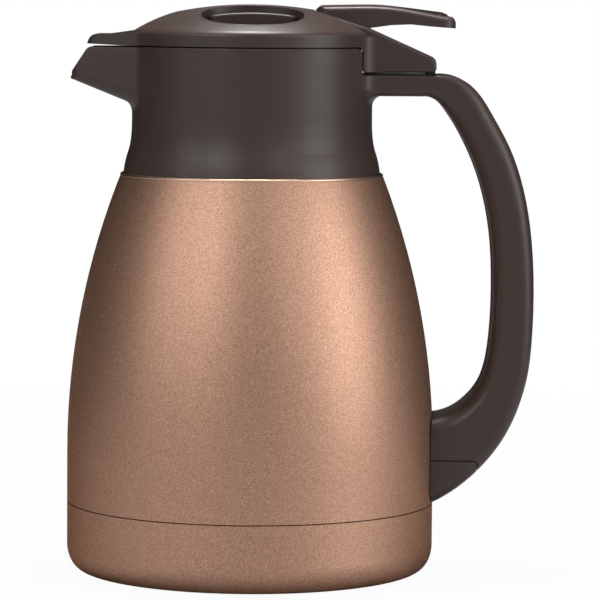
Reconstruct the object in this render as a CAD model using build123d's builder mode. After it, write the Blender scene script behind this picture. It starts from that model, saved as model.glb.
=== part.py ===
"""Thermal carafe with a flip lid, a pouring lever and pinch-release lid buttons.

Millimetres, +Z up. The origin is on the body's axis at the height of the surface it stands on.
The spout points along -X and the handle along +X.
"""

import os
from math import cos, hypot, radians, sin, sqrt

from build123d import *

os.makedirs("parts", exist_ok=True)

# ---------------------------------------------------------------- driving dimensions
# fits between pieces
press_clearance = 0.05
pin_clearance = 0.02
running_clearance = 0.05
side_clearance = 0.3
body_clearance = 0.3

# steel body
body_radius = 65.0
waist_height = 42.0
body_top = 140.7
body_shoulder_step = 0.813
steel_wall = 0.6
shoulder_round = 1.3
vacuum_gap = 5.0
base_seam_height = 24.6
base_seam_gap = 0.4
base_corner_width = 6.0
base_corner_height = 9.0
metal_lift = 0.3
foot_recess_inset = 10.0
foot_recess_height = 3.4
pad_clearance = 0.3
pad_chamfer = 0.5
foil_gap = 0.1
foil_thickness = 0.2
foil_bottom_margin = 8.0
foil_top_margin = 3.0
skirt_reach = 8.0
vacuum_plate_drop = 3.2
seal_hole_radius = 1.2
seal_radius = 4.0
seal_thickness = 1.0
getter_offset = 20.0
getter_radius = 5.0
getter_hole_radius = 2.0
getter_height = 2.0

# vessel mouth
mouth_radius = 32.5
neck_length = 27.3
neck_gap = 0.7
floor_gap = 6.6
vessel_floor_round = 8.0
shoulder_cone_height = 9.0
shoulder_cone_drop = 2.7

# collar
collar_radius = 42.4
collar_lift = 0.3
collar_flare = 2.95
collar_flare_mid = 2.25
collar_flare_mid_rise = 4.2
collar_crease = 1.05
collar_crease_rise = 8.2
collar_crease_slope = 0.27
collar_neck_rise = 18.4
collar_wall = 2.5
collar_top_round = 0.6
collar_gasket_thickness = 1.2
collar_gasket_margin = 3.3
deck_thickness = 2.0
deck_hole_margin = 0.5
collar_well_depth = 14.1
skirt_wall = 2.75
skirt_cone_length = 11.0
ring_lift = 9.0
ring_top_gap = 2.0
ring_chamfer = 0.8

# spout, measured out from the collar's side and down from its top
spout_root_half_width = 15.0
spout_tip_half_width = 8.5
spout_wall = 2.2
spout_tip_round = 6.0
spout_plan_inset = 12.4
spout_reach = 21.4
spout_lip_drop = 9.5
spout_lip_height = 3.4
drip_edge = 1.7
spout_edge_reach = 15.0
spout_edge_round = 3.0
spout_under_round = 5.0
spout_under_reach = 3.9
spout_under_drop = 18.2
spout_under_slope = 0.392
spout_floor_thickness = 2.4
beak_blend = 6.0
spout_root_round = 5.0
channel_overrun = 5.0

# handle
arm_rise = 5.0
arm_thickness = 7.6
arm_half_width = 14.0
arm_blend = 6.0
arm_root_round = 4.0
arm_root_reach = 4.2
arm_end_inset = 5.0
arm_under_round = 2.5
arm_top_round = 1.0
grip_outer_round = 5.0
grip_inner_round = 6.2
grip_root_inner_round = 3.0
grip_round_share = 0.16
grip_section_count = 30
hinge_lug_root = 2.0
catch_root = 1.0
catch_half_width = 6.0
catch_thickness = 1.2
catch_depth = 0.5
catch_drop = 4.3
notch_round = 2.0
foot_seam_height = 40.3
foot_seam_reach = 15.2
foot_seam_gap = 0.35
foot_seam_round = 1.2
foot_cavity_length = 8.0
foot_cavity_half_width = 9.0
foot_cavity_gap = 0.5
strip_top_drop = 18.0
strip_bottom_rise = 23.0
strip_recess = 0.3
strip_thickness = 2.0
strip_half_width = 6.8
hollow_depth = 9.0
hollow_half_width = 5.2
bracket_half_width = 8.0
bracket_thickness = 1.2
bracket_drop = 5.8
bracket_rise = 3.1
bracket_length = 11.0
pocket_clearance = 0.3
handle_screw_offset = 4.5
handle_screw_radius = 1.5
handle_screw_length = 8.0
handle_head_radius = 2.8
handle_head_height = 1.7
socket_depth = 1.0

# lid, measured up from its lower edge and out or in from the collar's side
lid_seam_gap = 0.45
dome_rise = 14.55
dome_arc_radius = 135.0
dome_break_inset = 15.9
skirt_rise = 4.45
skirt_round = 1.8
cone_edge_inset = 1.2
cone_edge_rise = 5.55
cone_mid_inset = 7.7
cone_mid_rise = 8.95
cone_angle = 26.0
cover_wall = 2.2
web_rise = 3.65
web_margin = 3.6
beak_reach = 15.6
beak_tip_rise = 0.5
beak_edge_reach = 14.0
beak_rise = 3.95
beak_edge_round = 3.5
beak_bend_reach = 7.7
beak_root_inset = 4.4
beak_root_rise = 5.75
tail_reach = 22.1
tail_gap = 0.8
tail_front_inset = 3.5
tail_seam_gap = 0.4
tail_start_inset = 16.4
tail_start_rise = 11.25
tail_bend_inset = 1.4
tail_bend_rise = 6.6
tail_end_drop = 3.9
tail_bend_round = 20.0
tail_top_round = 3.0
tail_bottom_round = 1.5
tail_side_round = 1.2
tail_wall = 2.2
tail_cavity_wall = 2.5
upward_limit = 0.2
boss_radius = 3.2
boss_circle_inset = 5.9
boss_angles = (45.6, 158.2)
lid_screw_radius = 1.2
lid_screw_length = 6.0
lid_head_radius = 2.5
lid_head_height = 1.3
lid_head_recess = 1.5
screw_clearance = 0.2
notch_depth = 5.0

# lid hinge
hinge_end_gap = 2.8
hinge_rise = 3.6
hinge_pin_radius = 1.25
hinge_pin_length = 22.0
knuckle_radius = 2.7
knuckle_half_width = 5.0
hinge_slot_gap = 0.5

# pouring lever, measured from its pivot
lever_pivot_inset = 9.4
lever_pivot_rise = 4.75
lever_pin_radius = 1.5
lever_half_width = 12.5
lever_front_reach = 10.6
lever_rear_reach = 38.3
lever_plan_round = 5.0
lever_side_wall = 2.0
lever_edge_round = 1.6
lever_crown = 0.8
lever_bevel_length = 3.6
lever_bevel_rise = 1.2
lever_slot_gap = 0.4
lever_slot_rear = 10.5
lever_slot_depth = 3.7
lever_end_shoulder_rise = 3.9
lever_skirt_rear_rise = 0.4
lever_skirt_front_rise = 3.9
lever_nose_bottom_rise = 5.9
lever_nose_top_rise = 8.3
lever_pin_half_length = 10.0
ear_thickness = 2.0
ear_radius = 3.2
ear_rise = 8.1
post_half_length = 3.5
post_inner = 4.6
post_outer = 7.4
post_rise = 2.5
lever_arm_drop = 1.8
lever_arm_rise = 1.5
lever_arm_half_width = 3.5
lever_eye_radius = 4.6
lever_eye_hole = 2.6
pad_half_width = 7.5
pad_depth = 0.8
pad_rise = 0.3

# release buttons
well_centre_x = 0.4
well_centre_y = 23.5
well_half_length = 17.8
well_half_width = 13.8
well_floor_rise = 2.25
well_wall = 1.5
bar_length = 30.0
bar_thickness = 4.5
bar_offset = 4.75
bar_floor_gap = 0.6
bar_height = 8.9
bar_end_drop = 1.1
bar_end_round = 2.2
bar_top_round = 0.8
button_travel = 1.6
leg_thickness = 3.0
leg_inset = 1.0
hook_half_width = 4.0
slider_gap = 0.4
slider_thickness = 1.3
hook_gap = 2.0
hook_thickness = 1.9
hook_drop = 2.5
toe_depth = 0.8
catch_gap = 0.4
guide_gap = 0.5
button_spring_rise = 4.6
button_spring_radius = 2.0
button_spring_wire = 0.35
button_spring_pitch = 1.6
spring_end_gap = 0.6

# stopper and valve
plug_depth = 15.0
plug_gap = 1.5
plug_bottom_inset = 3.0
plug_shoulder_drop = 0.2
plug_wall = 2.0
plug_flange_margin = 3.0
plug_flange_rise = 2.5
plug_flange_thickness = 1.5
window_rise = 0.4
window_height = 3.7
window_half_width = 9.0
stopper_gasket_inset = 0.4
lid_base_drop = 3.75
lid_base_thickness = 2.5
lid_base_gap = 1.4
rim_width = 2.0
rim_height = 1.7
spigot_height = 2.3
spigot_wall = 1.5
gasket_gap = 0.3
seat_radius = 10.5
valve_overlap = 2.5
valve_boss_gap = 2.1
valve_boss_height = 1.0
valve_gasket_gap = 0.1
valve_gasket_thickness = 1.4
valve_disc_thickness = 2.0
stem_radius = 2.0
stem_tip = 1.4
stem_clearance = 0.1
spring_seat_radius = 5.0
spring_seat_height = 1.5
valve_spring_radius = 6.0
valve_spring_wire = 0.5
valve_spring_pitch = 4.0
stem_seal_radius = 4.5
stem_seal_height = 1.5
clip_gap = 0.6
clip_thickness = 0.9
clip_radius = 4.0

# the lever's top line from the nose to the rear, as (x, z) from its pivot, and its free underside
lever_top_profile = [
    (-13.0, 9.2), (-6.0, 9.8), (3.0, 10.0), (15.5, 9.7), (22.6, 8.7), (33.2, 6.7), (40.0, 5.1),
]
lever_bottom_profile = [(lever_rear_reach, 1.9), (29.7, 2.5), (22.6, 3.2), (15.6, 2.9), (8.5, 1.9)]
# its thumb pad's top line, and the roof of the hollow under the lever
pad_top_profile = [(15.0, 9.7), (22.0, 8.95), (29.6, 8.0), (33.5, 7.5), (35.4, 6.7)]
lever_hollow_profile = [(-6.5, 7.4), (1.4, 7.8), (15.5, 7.4), (26.1, 5.7), (35.5, 3.9)]

# stations round the grip as pairs of outer and finger-side points (x, z): the upper ones are measured out
# from the body's side and down from the arm's top, the lower ones up from the foot's seam
grip_upper_stations = [
    ((1.4, 0.0), (-2.4, -7.9)),
    ((7.2, -1.0), (0.6, -9.8)),
    ((13.2, -5.0), (3.4, -13.2)),
    ((19.3, -13.7), (6.8, -18.4)),
    ((26.2, -26.6), (12.8, -30.4)),
    ((30.9, -40.9), (17.0, -43.2)),
    ((33.6, -56.7), (19.5, -57.2)),
    ((34.7, -76.2), (20.4, -76.2)),
]
grip_lower_stations = [
    ((34.2, 41.7), (19.6, 42.2)),
    ((32.3, 27.4), (17.6, 30.9)),
    ((27.6, 13.5), (14.0, 23.9)),
    ((20.7, 2.2), (8.6, 18.7)),
    ((11.0, -7.8), (2.7, 15.9)),
    ((-3.0, -16.3), (-5.0, 15.3)),
]

# ---------------------------------------------------------------- values worked out from them
# body and vessel
shell_bottom = base_seam_height + base_seam_gap / 2
base_shell_top = base_seam_height - base_seam_gap / 2
collar_flare_radius = collar_radius + collar_flare
body_top_radius = collar_flare_radius + body_shoulder_step
body_arc_height = body_top - waist_height
body_arc_depth = body_radius - body_top_radius
body_arc_radius = (body_arc_height**2 + body_arc_depth**2) / (2 * body_arc_depth)
foot_recess_radius = body_radius - foot_recess_inset
vacuum_plate_height = base_seam_height - vacuum_plate_drop
vessel_floor = vacuum_plate_height + floor_gap
vessel_joint_height = vessel_floor + vessel_floor_round
shoulder_end = body_top - shoulder_cone_drop
shoulder_start = shoulder_end - shoulder_cone_height
foil_bottom = vessel_joint_height + foil_bottom_margin
foil_top = shoulder_start - foil_top_margin
mouth_height = body_top + neck_length
inner_neck_radius = mouth_radius + steel_wall
outer_neck_bore = inner_neck_radius + neck_gap
outer_neck_radius = outer_neck_bore + steel_wall
lip_underside = mouth_height - steel_wall
vessel_inset = steel_wall + vacuum_gap
vessel_radius = body_radius - vessel_inset
# collar and spout
collar_bottom = body_top + collar_lift
collar_flare_mid_radius = collar_radius + collar_flare_mid
collar_flare_mid_height = collar_bottom + collar_flare_mid_rise
collar_crease_radius = collar_radius + collar_crease
collar_crease_height = collar_bottom + collar_crease_rise
collar_neck_height = collar_bottom + collar_neck_rise
collar_bore = collar_radius - collar_wall
skirt_bore = collar_flare_radius - skirt_wall
skirt_cone_height = collar_bottom + skirt_cone_length
deck_underside = mouth_height + collar_gasket_thickness
deck_height = deck_underside + deck_thickness
deck_hole_radius = mouth_radius + deck_hole_margin
collar_top = deck_height + collar_well_depth
collar_gasket_radius = mouth_radius + collar_gasket_margin
ring_bottom = collar_bottom + ring_lift
ring_height = mouth_height - ring_top_gap - ring_bottom
spout_plan_start = collar_radius - spout_plan_inset
spout_lip_x = -(collar_radius + spout_reach)
spout_lip_top = collar_top - spout_lip_drop
spout_lip_bottom = spout_lip_top - spout_lip_height
spout_edge_x = -(collar_radius + spout_edge_reach)
spout_under_x = -(collar_radius + spout_under_reach)
spout_under_height = collar_top - spout_under_drop
channel_end_height = spout_lip_bottom + spout_floor_thickness
# handle
arm_top = deck_height + arm_rise
arm_underside = arm_top - arm_thickness
arm_end_x = body_radius - arm_end_inset
catch_height = collar_top - catch_drop
foot_seam_x = body_radius + foot_seam_reach
bracket_bottom = foot_seam_height - bracket_drop
bracket_top = foot_seam_height + bracket_rise
bracket_reach = body_radius + bracket_length
foot_cavity_floor = bracket_bottom - foot_cavity_gap
handle_screw_x = body_radius + handle_screw_offset
# lid
lid_bottom = collar_top + lid_seam_gap
dome_height = lid_bottom + dome_rise
dome_break_radius = collar_radius - dome_break_inset
skirt_height = lid_bottom + skirt_rise
cone_edge_radius = collar_radius - cone_edge_inset
cone_edge_height = lid_bottom + cone_edge_rise
cone_mid_radius = collar_radius - cone_mid_inset
cone_mid_height = lid_bottom + cone_mid_rise
web_top = lid_bottom + web_rise
web_reach = collar_radius + web_margin
beak_tip_x = -(collar_radius + beak_reach)
beak_tip_height = lid_bottom + beak_tip_rise
beak_edge_x = -(collar_radius + beak_edge_reach)
beak_top = lid_bottom + beak_rise
beak_bend_x = -(collar_radius + beak_bend_reach)
beak_root_x = -(collar_radius - beak_root_inset)
beak_root_height = lid_bottom + beak_root_rise
tail_end_x = collar_radius + tail_reach
tail_bottom = arm_top + tail_gap
tail_front_x = collar_radius - tail_front_inset
tail_start_x = collar_radius - tail_start_inset
tail_start_height = lid_bottom + tail_start_rise
tail_bend_x = collar_radius - tail_bend_inset
tail_bend_height = lid_bottom + tail_bend_rise
tail_end_height = lid_bottom - tail_end_drop
hinge_x = tail_end_x - hinge_end_gap
hinge_height = arm_top + hinge_rise
hinge_slot_x = hinge_x - knuckle_radius - hinge_slot_gap
tail_cavity_end = hinge_slot_x - tail_cavity_wall
lid_base_bottom = lid_bottom - lid_base_drop
lid_base_top = lid_base_bottom + lid_base_thickness
lid_base_radius = collar_bore - lid_base_gap
rim_top = lid_base_top + rim_height
boss_circle_radius = lid_base_radius - boss_circle_inset
boss_places = [
    (boss_circle_radius * cos(radians(angle)), side * boss_circle_radius * sin(radians(angle)))
    for angle in boss_angles for side in (1, -1)
]
# lever
lever_pivot_x = collar_radius - lever_pivot_inset
lever_pivot_height = lid_bottom + lever_pivot_rise
lever_front_x = lever_pivot_x - lever_front_reach
lever_end_x = lever_pivot_x + lever_rear_reach
lever_slot_end = lever_pivot_x + lever_slot_rear
lever_slot_floor = lever_pivot_height - lever_slot_depth
lever_end_shoulder = lever_pivot_height + lever_end_shoulder_rise
lever_skirt_rear = lever_pivot_height + lever_skirt_rear_rise
lever_skirt_front = lever_pivot_height + lever_skirt_front_rise
lever_nose_bottom = lever_pivot_height + lever_nose_bottom_rise
lever_nose_top = lever_pivot_height + lever_nose_top_rise
ear_top = lever_pivot_height + ear_rise
post_top = lever_pivot_height + post_rise
lever_arm_bottom = lever_pivot_height - lever_arm_drop
lever_arm_top = lever_pivot_height + lever_arm_rise
slot_half_width = lever_half_width + lever_slot_gap
# release buttons
well_floor = lid_bottom + well_floor_rise
bar_centre_y = well_centre_y - bar_offset
bar_bottom = well_floor + bar_floor_gap
bar_top = bar_bottom + bar_height
slider_bottom = lid_base_top + slider_gap
slider_top = slider_bottom + slider_thickness
hook_outer = collar_bore - hook_gap
hook_inner = hook_outer - hook_thickness
hook_bottom = catch_height - hook_drop
toe_outer = hook_outer + toe_depth
leg_outer = bar_centre_y + bar_thickness / 2 - leg_inset
leg_slot_width = leg_thickness + button_travel + 2 * side_clearance
leg_slot_centre = leg_outer - (leg_thickness + button_travel) / 2
button_spring_height = well_floor + button_spring_rise
button_spring_start = well_centre_y - well_half_width + spring_end_gap
button_spring_end = bar_centre_y - bar_thickness / 2 - button_spring_wire - press_clearance
# stopper and valve
plug_radius = mouth_radius - plug_gap
plug_bottom = mouth_height - plug_depth
plug_bottom_radius = plug_radius - plug_bottom_inset
plug_shoulder = deck_height - plug_shoulder_drop
plug_flange_radius = deck_hole_radius + plug_flange_margin
plug_flange_bottom = deck_height + plug_flange_rise
window_bottom = plug_flange_bottom + plug_flange_thickness + window_rise
window_top = window_bottom + window_height
stopper_gasket_radius = plug_flange_radius - stopper_gasket_inset
spigot_radius = plug_radius - plug_wall - press_clearance
valve_radius = seat_radius + valve_overlap
valve_boss_radius = seat_radius - valve_boss_gap
valve_disc_bottom = plug_bottom + plug_wall + valve_gasket_gap + valve_gasket_thickness
valve_disc_top = valve_disc_bottom + valve_disc_thickness
clip_bottom = lever_arm_top + clip_gap
stem_top = clip_bottom + stem_tip
# larger than any piece is wide, for cuts that go right through
far_away = body_radius


def from_pivot(profile):
    """Place points that are measured from the lever's pivot."""
    return [(lever_pivot_x + x, lever_pivot_height + z) for x, z in profile]


lever_top_line = from_pivot(lever_top_profile)
lever_bottom_line = from_pivot(lever_bottom_profile)
pad_top_line = from_pivot(pad_top_profile)
lever_hollow_line = from_pivot(lever_hollow_profile)


def grip_points(side):
    """Points down one side of the grip, from the arm's end: side 0 is outer and 1 is the finger side."""
    start = [(arm_end_x, (arm_top, arm_underside)[side])]
    upper = [(body_radius + pair[side][0], arm_top + pair[side][1]) for pair in grip_upper_stations]
    lower = [(body_radius + pair[side][0], foot_seam_height + pair[side][1]) for pair in grip_lower_stations]
    return [Vector(*point) for point in start + upper + lower]


def wall_radius(height, inset=0.0):
    """Radius of the body's curved wall at a height, measured inset inwards from the painted face."""
    reach = body_arc_radius - inset
    return body_radius - body_arc_radius + sqrt(reach**2 - (height - waist_height) ** 2)


def wall_arc(low, high, inset=0.0):
    """Draw the line of the curved wall between two heights."""
    middle = (low + high) / 2
    return ThreePointArc(*[(wall_radius(height, inset), height) for height in (low, middle, high)])


def nearest(shape, x, y):
    """The corner of a profile that lies nearest to a point."""
    return shape.vertices().sort_by_distance((x, y, 0))[0]


# ---------------------------------------------------------------- steel body
with BuildPart() as outer_shell:
    with BuildSketch(Plane.XZ) as profile:
        with BuildLine():
            Line((body_radius, shell_bottom), (body_radius, waist_height))
            wall_arc(waist_height, body_top)
            Polyline(
                (wall_radius(body_top), body_top),
                (outer_neck_radius, body_top),
                (outer_neck_radius, lip_underside),
                (outer_neck_bore, lip_underside),
                (outer_neck_bore, body_top - steel_wall),
                (wall_radius(body_top - steel_wall, steel_wall), body_top - steel_wall),
            )
            wall_arc(waist_height, body_top - steel_wall, steel_wall)
            Polyline(
                (body_radius - steel_wall, waist_height),
                (body_radius - steel_wall, shell_bottom),
                (body_radius, shell_bottom),
            )
        make_face()
        fillet(nearest(profile, wall_radius(body_top), body_top), shoulder_round)
        inner_corner = nearest(profile, wall_radius(body_top, steel_wall), body_top - steel_wall)
        fillet(inner_corner, shoulder_round - steel_wall)
    revolve(axis=Axis.Z)
outer_shell.part.label = "outer_shell"
export_step(outer_shell.part, "parts/outer_shell.step")

# the shoulder's inner line drops so that the cone keeps the wall's thickness
shoulder_run = wall_radius(shoulder_start, vessel_inset) - inner_neck_radius
shoulder_drop = steel_wall * sqrt(1 + ((shoulder_end - shoulder_start) / shoulder_run) ** 2)
with BuildPart() as inner_vessel:
    with BuildSketch(Plane.XZ):
        with BuildLine():
            Line((vessel_radius, vessel_joint_height), (vessel_radius, waist_height))
            wall_arc(waist_height, shoulder_start, vessel_inset)
            Polyline(
                (wall_radius(shoulder_start, vessel_inset), shoulder_start),
                (inner_neck_radius, shoulder_end),
                (inner_neck_radius, lip_underside),
                (outer_neck_radius, lip_underside),
                (outer_neck_radius, mouth_height),
                (mouth_radius, mouth_height),
                (mouth_radius, shoulder_end - shoulder_drop),
                (wall_radius(shoulder_start - shoulder_drop, vessel_inset + steel_wall),
                 shoulder_start - shoulder_drop),
            )
            wall_arc(waist_height, shoulder_start - shoulder_drop, vessel_inset + steel_wall)
            Polyline(
                (vessel_radius - steel_wall, waist_height),
                (vessel_radius - steel_wall, vessel_joint_height),
                (vessel_radius, vessel_joint_height),
            )
        make_face()
    revolve(axis=Axis.Z)
inner_vessel.part.label = "inner_vessel"
export_step(inner_vessel.part, "parts/inner_vessel.step")

with BuildPart() as vessel_bottom:
    with BuildSketch(Plane.XZ) as profile:
        with BuildLine():
            Polyline(
                (0, vessel_floor - steel_wall),
                (vessel_radius, vessel_floor - steel_wall),
                (vessel_radius, vessel_joint_height),
                (vessel_radius - steel_wall, vessel_joint_height),
                (vessel_radius - steel_wall, vessel_floor),
                (0, vessel_floor),
                close=True,
            )
        make_face()
        fillet(nearest(profile, vessel_radius, vessel_floor - steel_wall), vessel_floor_round)
        fillet(nearest(profile, vessel_radius - steel_wall, vessel_floor), vessel_floor_round - steel_wall)
    revolve(axis=Axis.Z)
vessel_bottom.part.label = "vessel_bottom"
export_step(vessel_bottom.part, "parts/vessel_bottom.step")

foil_inset = vessel_inset - foil_gap
with BuildPart() as heat_shield:
    with BuildSketch(Plane.XZ):
        with BuildLine():
            wall_arc(foil_bottom, foil_top, foil_inset - foil_thickness)
            Line((wall_radius(foil_top, foil_inset - foil_thickness), foil_top),
                 (wall_radius(foil_top, foil_inset), foil_top))
            wall_arc(foil_bottom, foil_top, foil_inset)
            Line((wall_radius(foil_bottom, foil_inset), foil_bottom),
                 (wall_radius(foil_bottom, foil_inset - foil_thickness), foil_bottom))
        make_face()
    revolve(axis=Axis.Z)
heat_shield.part.label = "heat_shield"
export_step(heat_shield.part, "parts/heat_shield.step")

# the vacuum base closes the body shell and carries the base shell on its skirt
skirt_radius = body_radius - steel_wall - press_clearance
with BuildPart() as vacuum_base:
    with BuildSketch(Plane.XZ):
        with BuildLine():
            Polyline(
                (skirt_radius, base_seam_height - skirt_reach),
                (skirt_radius, base_seam_height + skirt_reach),
                (skirt_radius - steel_wall, base_seam_height + skirt_reach),
                (skirt_radius - steel_wall, vacuum_plate_height + steel_wall),
                (seal_hole_radius, vacuum_plate_height + steel_wall),
                (seal_hole_radius, vacuum_plate_height),
                (skirt_radius - steel_wall, vacuum_plate_height),
                (skirt_radius - steel_wall, base_seam_height - skirt_reach),
                close=True,
            )
        make_face()
    revolve(axis=Axis.Z)
vacuum_base.part.label = "vacuum_base"
export_step(vacuum_base.part, "parts/vacuum_base.step")

with BuildPart() as vacuum_seal:
    with BuildSketch(Plane.XY.offset(vacuum_plate_height - seal_thickness)):
        Circle(seal_radius)
    extrude(amount=seal_thickness)
    with BuildSketch(Plane.XY.offset(vacuum_plate_height)):
        Circle(seal_hole_radius - press_clearance)
    extrude(amount=steel_wall)
vacuum_seal.part.label = "vacuum_seal"
export_step(vacuum_seal.part, "parts/vacuum_seal.step")

with BuildPart() as getter:
    with BuildSketch(Plane.XY.offset(vacuum_plate_height + steel_wall)):
        with Locations((getter_offset, 0)):
            Circle(getter_radius)
            Circle(getter_hole_radius, mode=Mode.SUBTRACT)
    extrude(amount=getter_height)
getter.part.label = "getter"
export_step(getter.part, "parts/getter.step")

base_flat_radius = body_radius - base_corner_width
base_corner_top = metal_lift + base_corner_height
with BuildPart() as base_shell:
    with BuildSketch(Plane.XZ):
        with BuildLine():
            Polyline(
                (body_radius, base_corner_top),
                (body_radius, base_shell_top),
                (body_radius - steel_wall, base_shell_top),
                (body_radius - steel_wall, base_corner_top),
            )
            EllipticalCenterArc(
                (base_flat_radius, base_corner_top),
                base_corner_width - steel_wall,
                base_corner_height - steel_wall,
                start_angle=270,
                arc_size=90,
            )
            Polyline(
                (base_flat_radius, metal_lift + steel_wall),
                (foot_recess_radius + steel_wall, metal_lift + steel_wall),
                (foot_recess_radius + steel_wall, foot_recess_height + steel_wall),
                (0, foot_recess_height + steel_wall),
                (0, foot_recess_height),
                (foot_recess_radius, foot_recess_height),
                (foot_recess_radius, metal_lift),
                (base_flat_radius, metal_lift),
            )
            EllipticalCenterArc(
                (base_flat_radius, base_corner_top),
                base_corner_width,
                base_corner_height,
                start_angle=270,
                arc_size=90,
            )
        make_face()
    revolve(axis=Axis.Z)
base_shell.part.label = "base_shell"
export_step(base_shell.part, "parts/base_shell.step")

with BuildPart() as foot_pad:
    with BuildSketch():
        Circle(foot_recess_radius - pad_clearance)
    extrude(amount=foot_recess_height - press_clearance)
    chamfer(foot_pad.edges().sort_by(Axis.Z)[0], pad_chamfer)
foot_pad.part.label = "foot_pad"
export_step(foot_pad.part, "parts/foot_pad.step")

# ---------------------------------------------------------------- neck
with BuildPart() as retaining_ring:
    with BuildSketch(Plane.XY.offset(ring_bottom)):
        Circle(collar_bore - press_clearance)
        Circle(outer_neck_radius + press_clearance, mode=Mode.SUBTRACT)
    extrude(amount=ring_height)
    chamfer(retaining_ring.edges().sort_by(Axis.Z)[:2], ring_chamfer)
retaining_ring.part.label = "retaining_ring"
export_step(retaining_ring.part, "parts/retaining_ring.step")

with BuildPart() as collar_gasket:
    with BuildSketch(Plane.XY.offset(mouth_height)):
        Circle(collar_gasket_radius)
        Circle(mouth_radius + press_clearance, mode=Mode.SUBTRACT)
    extrude(amount=deck_underside - mouth_height)
collar_gasket.part.label = "collar_gasket"
export_step(collar_gasket.part, "parts/collar_gasket.step")

# ---------------------------------------------------------------- plans shared by collar and lid
spout_taper = (spout_root_half_width - spout_tip_half_width) / (collar_radius + spout_lip_x)


def spout_half_width(x, inset=0.0):
    """Half-width of the spout's plan at a place along X, measured inset inwards from its sides."""
    return spout_tip_half_width + spout_taper * (spout_lip_x - x) - inset


def spout_outline(tip_x, inset=0.0):
    """Draw the spout's tapering sides and blunt tip in plan."""
    return Polyline(
        (-spout_plan_start, spout_half_width(-spout_plan_start, inset)),
        (tip_x, spout_half_width(tip_x, inset)),
        (tip_x, -spout_half_width(tip_x, inset)),
        (-spout_plan_start, -spout_half_width(-spout_plan_start, inset)),
        close=True,
    )


def blend_corners(plan, half_width, side):
    """The two corners where an arm of a given half-width meets the collar's circle, on one side."""
    reach = side * sqrt(collar_radius**2 - half_width**2)
    return [nearest(plan, reach, half_width), nearest(plan, reach, -half_width)]


with BuildSketch() as beak_plan:
    with BuildLine():
        spout_outline(beak_tip_x)
    make_face()
    fillet(beak_plan.vertices().group_by(Axis.X)[0], spout_tip_round)
    Circle(collar_radius)
    fillet(blend_corners(beak_plan, spout_half_width(-collar_radius), -1), beak_blend)

with BuildSketch() as arm_plan:
    with BuildLine():
        Polyline(
            (0, arm_half_width), (tail_end_x, arm_half_width), (tail_end_x, -arm_half_width),
            (0, -arm_half_width), close=True,
        )
    make_face()
    Circle(collar_radius)
    fillet(blend_corners(arm_plan, arm_half_width, 1), arm_blend)

# ---------------------------------------------------------------- collar, spout and handle
def spout_under(x):
    """Height of the spout's underside at a place along X."""
    return spout_under_height + spout_under_slope * (spout_under_x - x)


with BuildPart() as spout_form:
    for x in (-spout_plan_start, spout_lip_x):
        round_here = spout_under_round * spout_half_width(x) / spout_root_half_width
        with BuildSketch(Plane.YZ.offset(x)) as section:
            with Locations((0, spout_under(x))):
                Rectangle(
                    2 * spout_half_width(x), 2 * collar_well_depth, align=(Align.CENTER, Align.MIN)
                )
            fillet(section.vertices().group_by(Axis.Y)[0], round_here)
    loft()
    with BuildSketch(Plane.XY.offset(collar_neck_height)) as plan:
        with BuildLine():
            spout_outline(spout_lip_x)
        make_face()
        fillet(plan.vertices().group_by(Axis.X)[0], spout_tip_round)
    extrude(amount=collar_top - collar_neck_height, mode=Mode.INTERSECT)
    with BuildSketch(Plane.XZ) as side:
        with BuildLine():
            Polyline(
                (-spout_plan_start, collar_top),
                (spout_edge_x, collar_top),
                (spout_lip_x, spout_lip_top),
                (spout_lip_x, spout_lip_bottom),
                (spout_lip_x + drip_edge, spout_lip_bottom + drip_edge / 2),
                (spout_lip_x + 2 * drip_edge, spout_under(spout_lip_x + 2 * drip_edge)),
                (-spout_plan_start, spout_under(-spout_plan_start)),
                close=True,
            )
        make_face()
        fillet(nearest(side, spout_edge_x, collar_top), spout_edge_round)
    extrude(amount=far_away, both=True, mode=Mode.INTERSECT)

with BuildPart() as arm_form:
    with BuildSketch(Plane.XY.offset(arm_underside)):
        add(arm_plan.sketch)
        Rectangle(2 * arm_end_x, 2 * far_away, mode=Mode.INTERSECT)
    extrude(amount=arm_top - arm_underside)
    fillet(arm_form.faces().sort_by(Axis.Z)[0].edges().filter_by(Axis.Y, reverse=True), arm_under_round)
    fillet(arm_form.faces().sort_by(Axis.Z)[-1].edges().filter_by(Axis.Y, reverse=True), arm_top_round)

# the grip is one loft through even sections between its outer and finger-side lines
outer_points = grip_points(0)
finger_points = grip_points(1)
station_places = [0.0]
for start, end in zip(zip(outer_points, finger_points), zip(outer_points[1:], finger_points[1:])):
    step = (end[0] - start[0]).length + (end[1] - start[1]).length
    station_places.append(station_places[-1] + step)
station_places = [place / station_places[-1] for place in station_places]
outer_line = Edge.make_spline(outer_points, parameters=station_places)
finger_line = Edge.make_spline(finger_points, parameters=station_places)

with BuildPart() as grip_form:
    for number in range(grip_section_count + 1):
        place = number / grip_section_count
        outer = outer_line.position_at(place, position_mode=PositionMode.PARAMETER)
        finger = finger_line.position_at(place, position_mode=PositionMode.PARAMETER)
        across = Vector(outer.X - finger.X, 0, outer.Y - finger.Y)
        middle = Vector((outer.X + finger.X) / 2, 0, (outer.Y + finger.Y) / 2)
        station = Plane(origin=middle, x_dir=(0, 1, 0), z_dir=Vector(0, 1, 0).cross(across))
        # the edges' rounding grows from the arm's to the grip's along the bend
        share = min(1, place / grip_round_share)
        growth = share**2 * (3 - 2 * share)
        with BuildSketch(station) as section:
            Rectangle(2 * arm_half_width, across.length)
            outer_round = arm_top_round + growth * (grip_outer_round - arm_top_round)
            finger_round = grip_root_inner_round + growth * (grip_inner_round - grip_root_inner_round)
            fillet(section.vertices().group_by(Axis.Y)[-1], outer_round)
            fillet(section.vertices().group_by(Axis.Y)[0], finger_round)
    loft()

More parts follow.
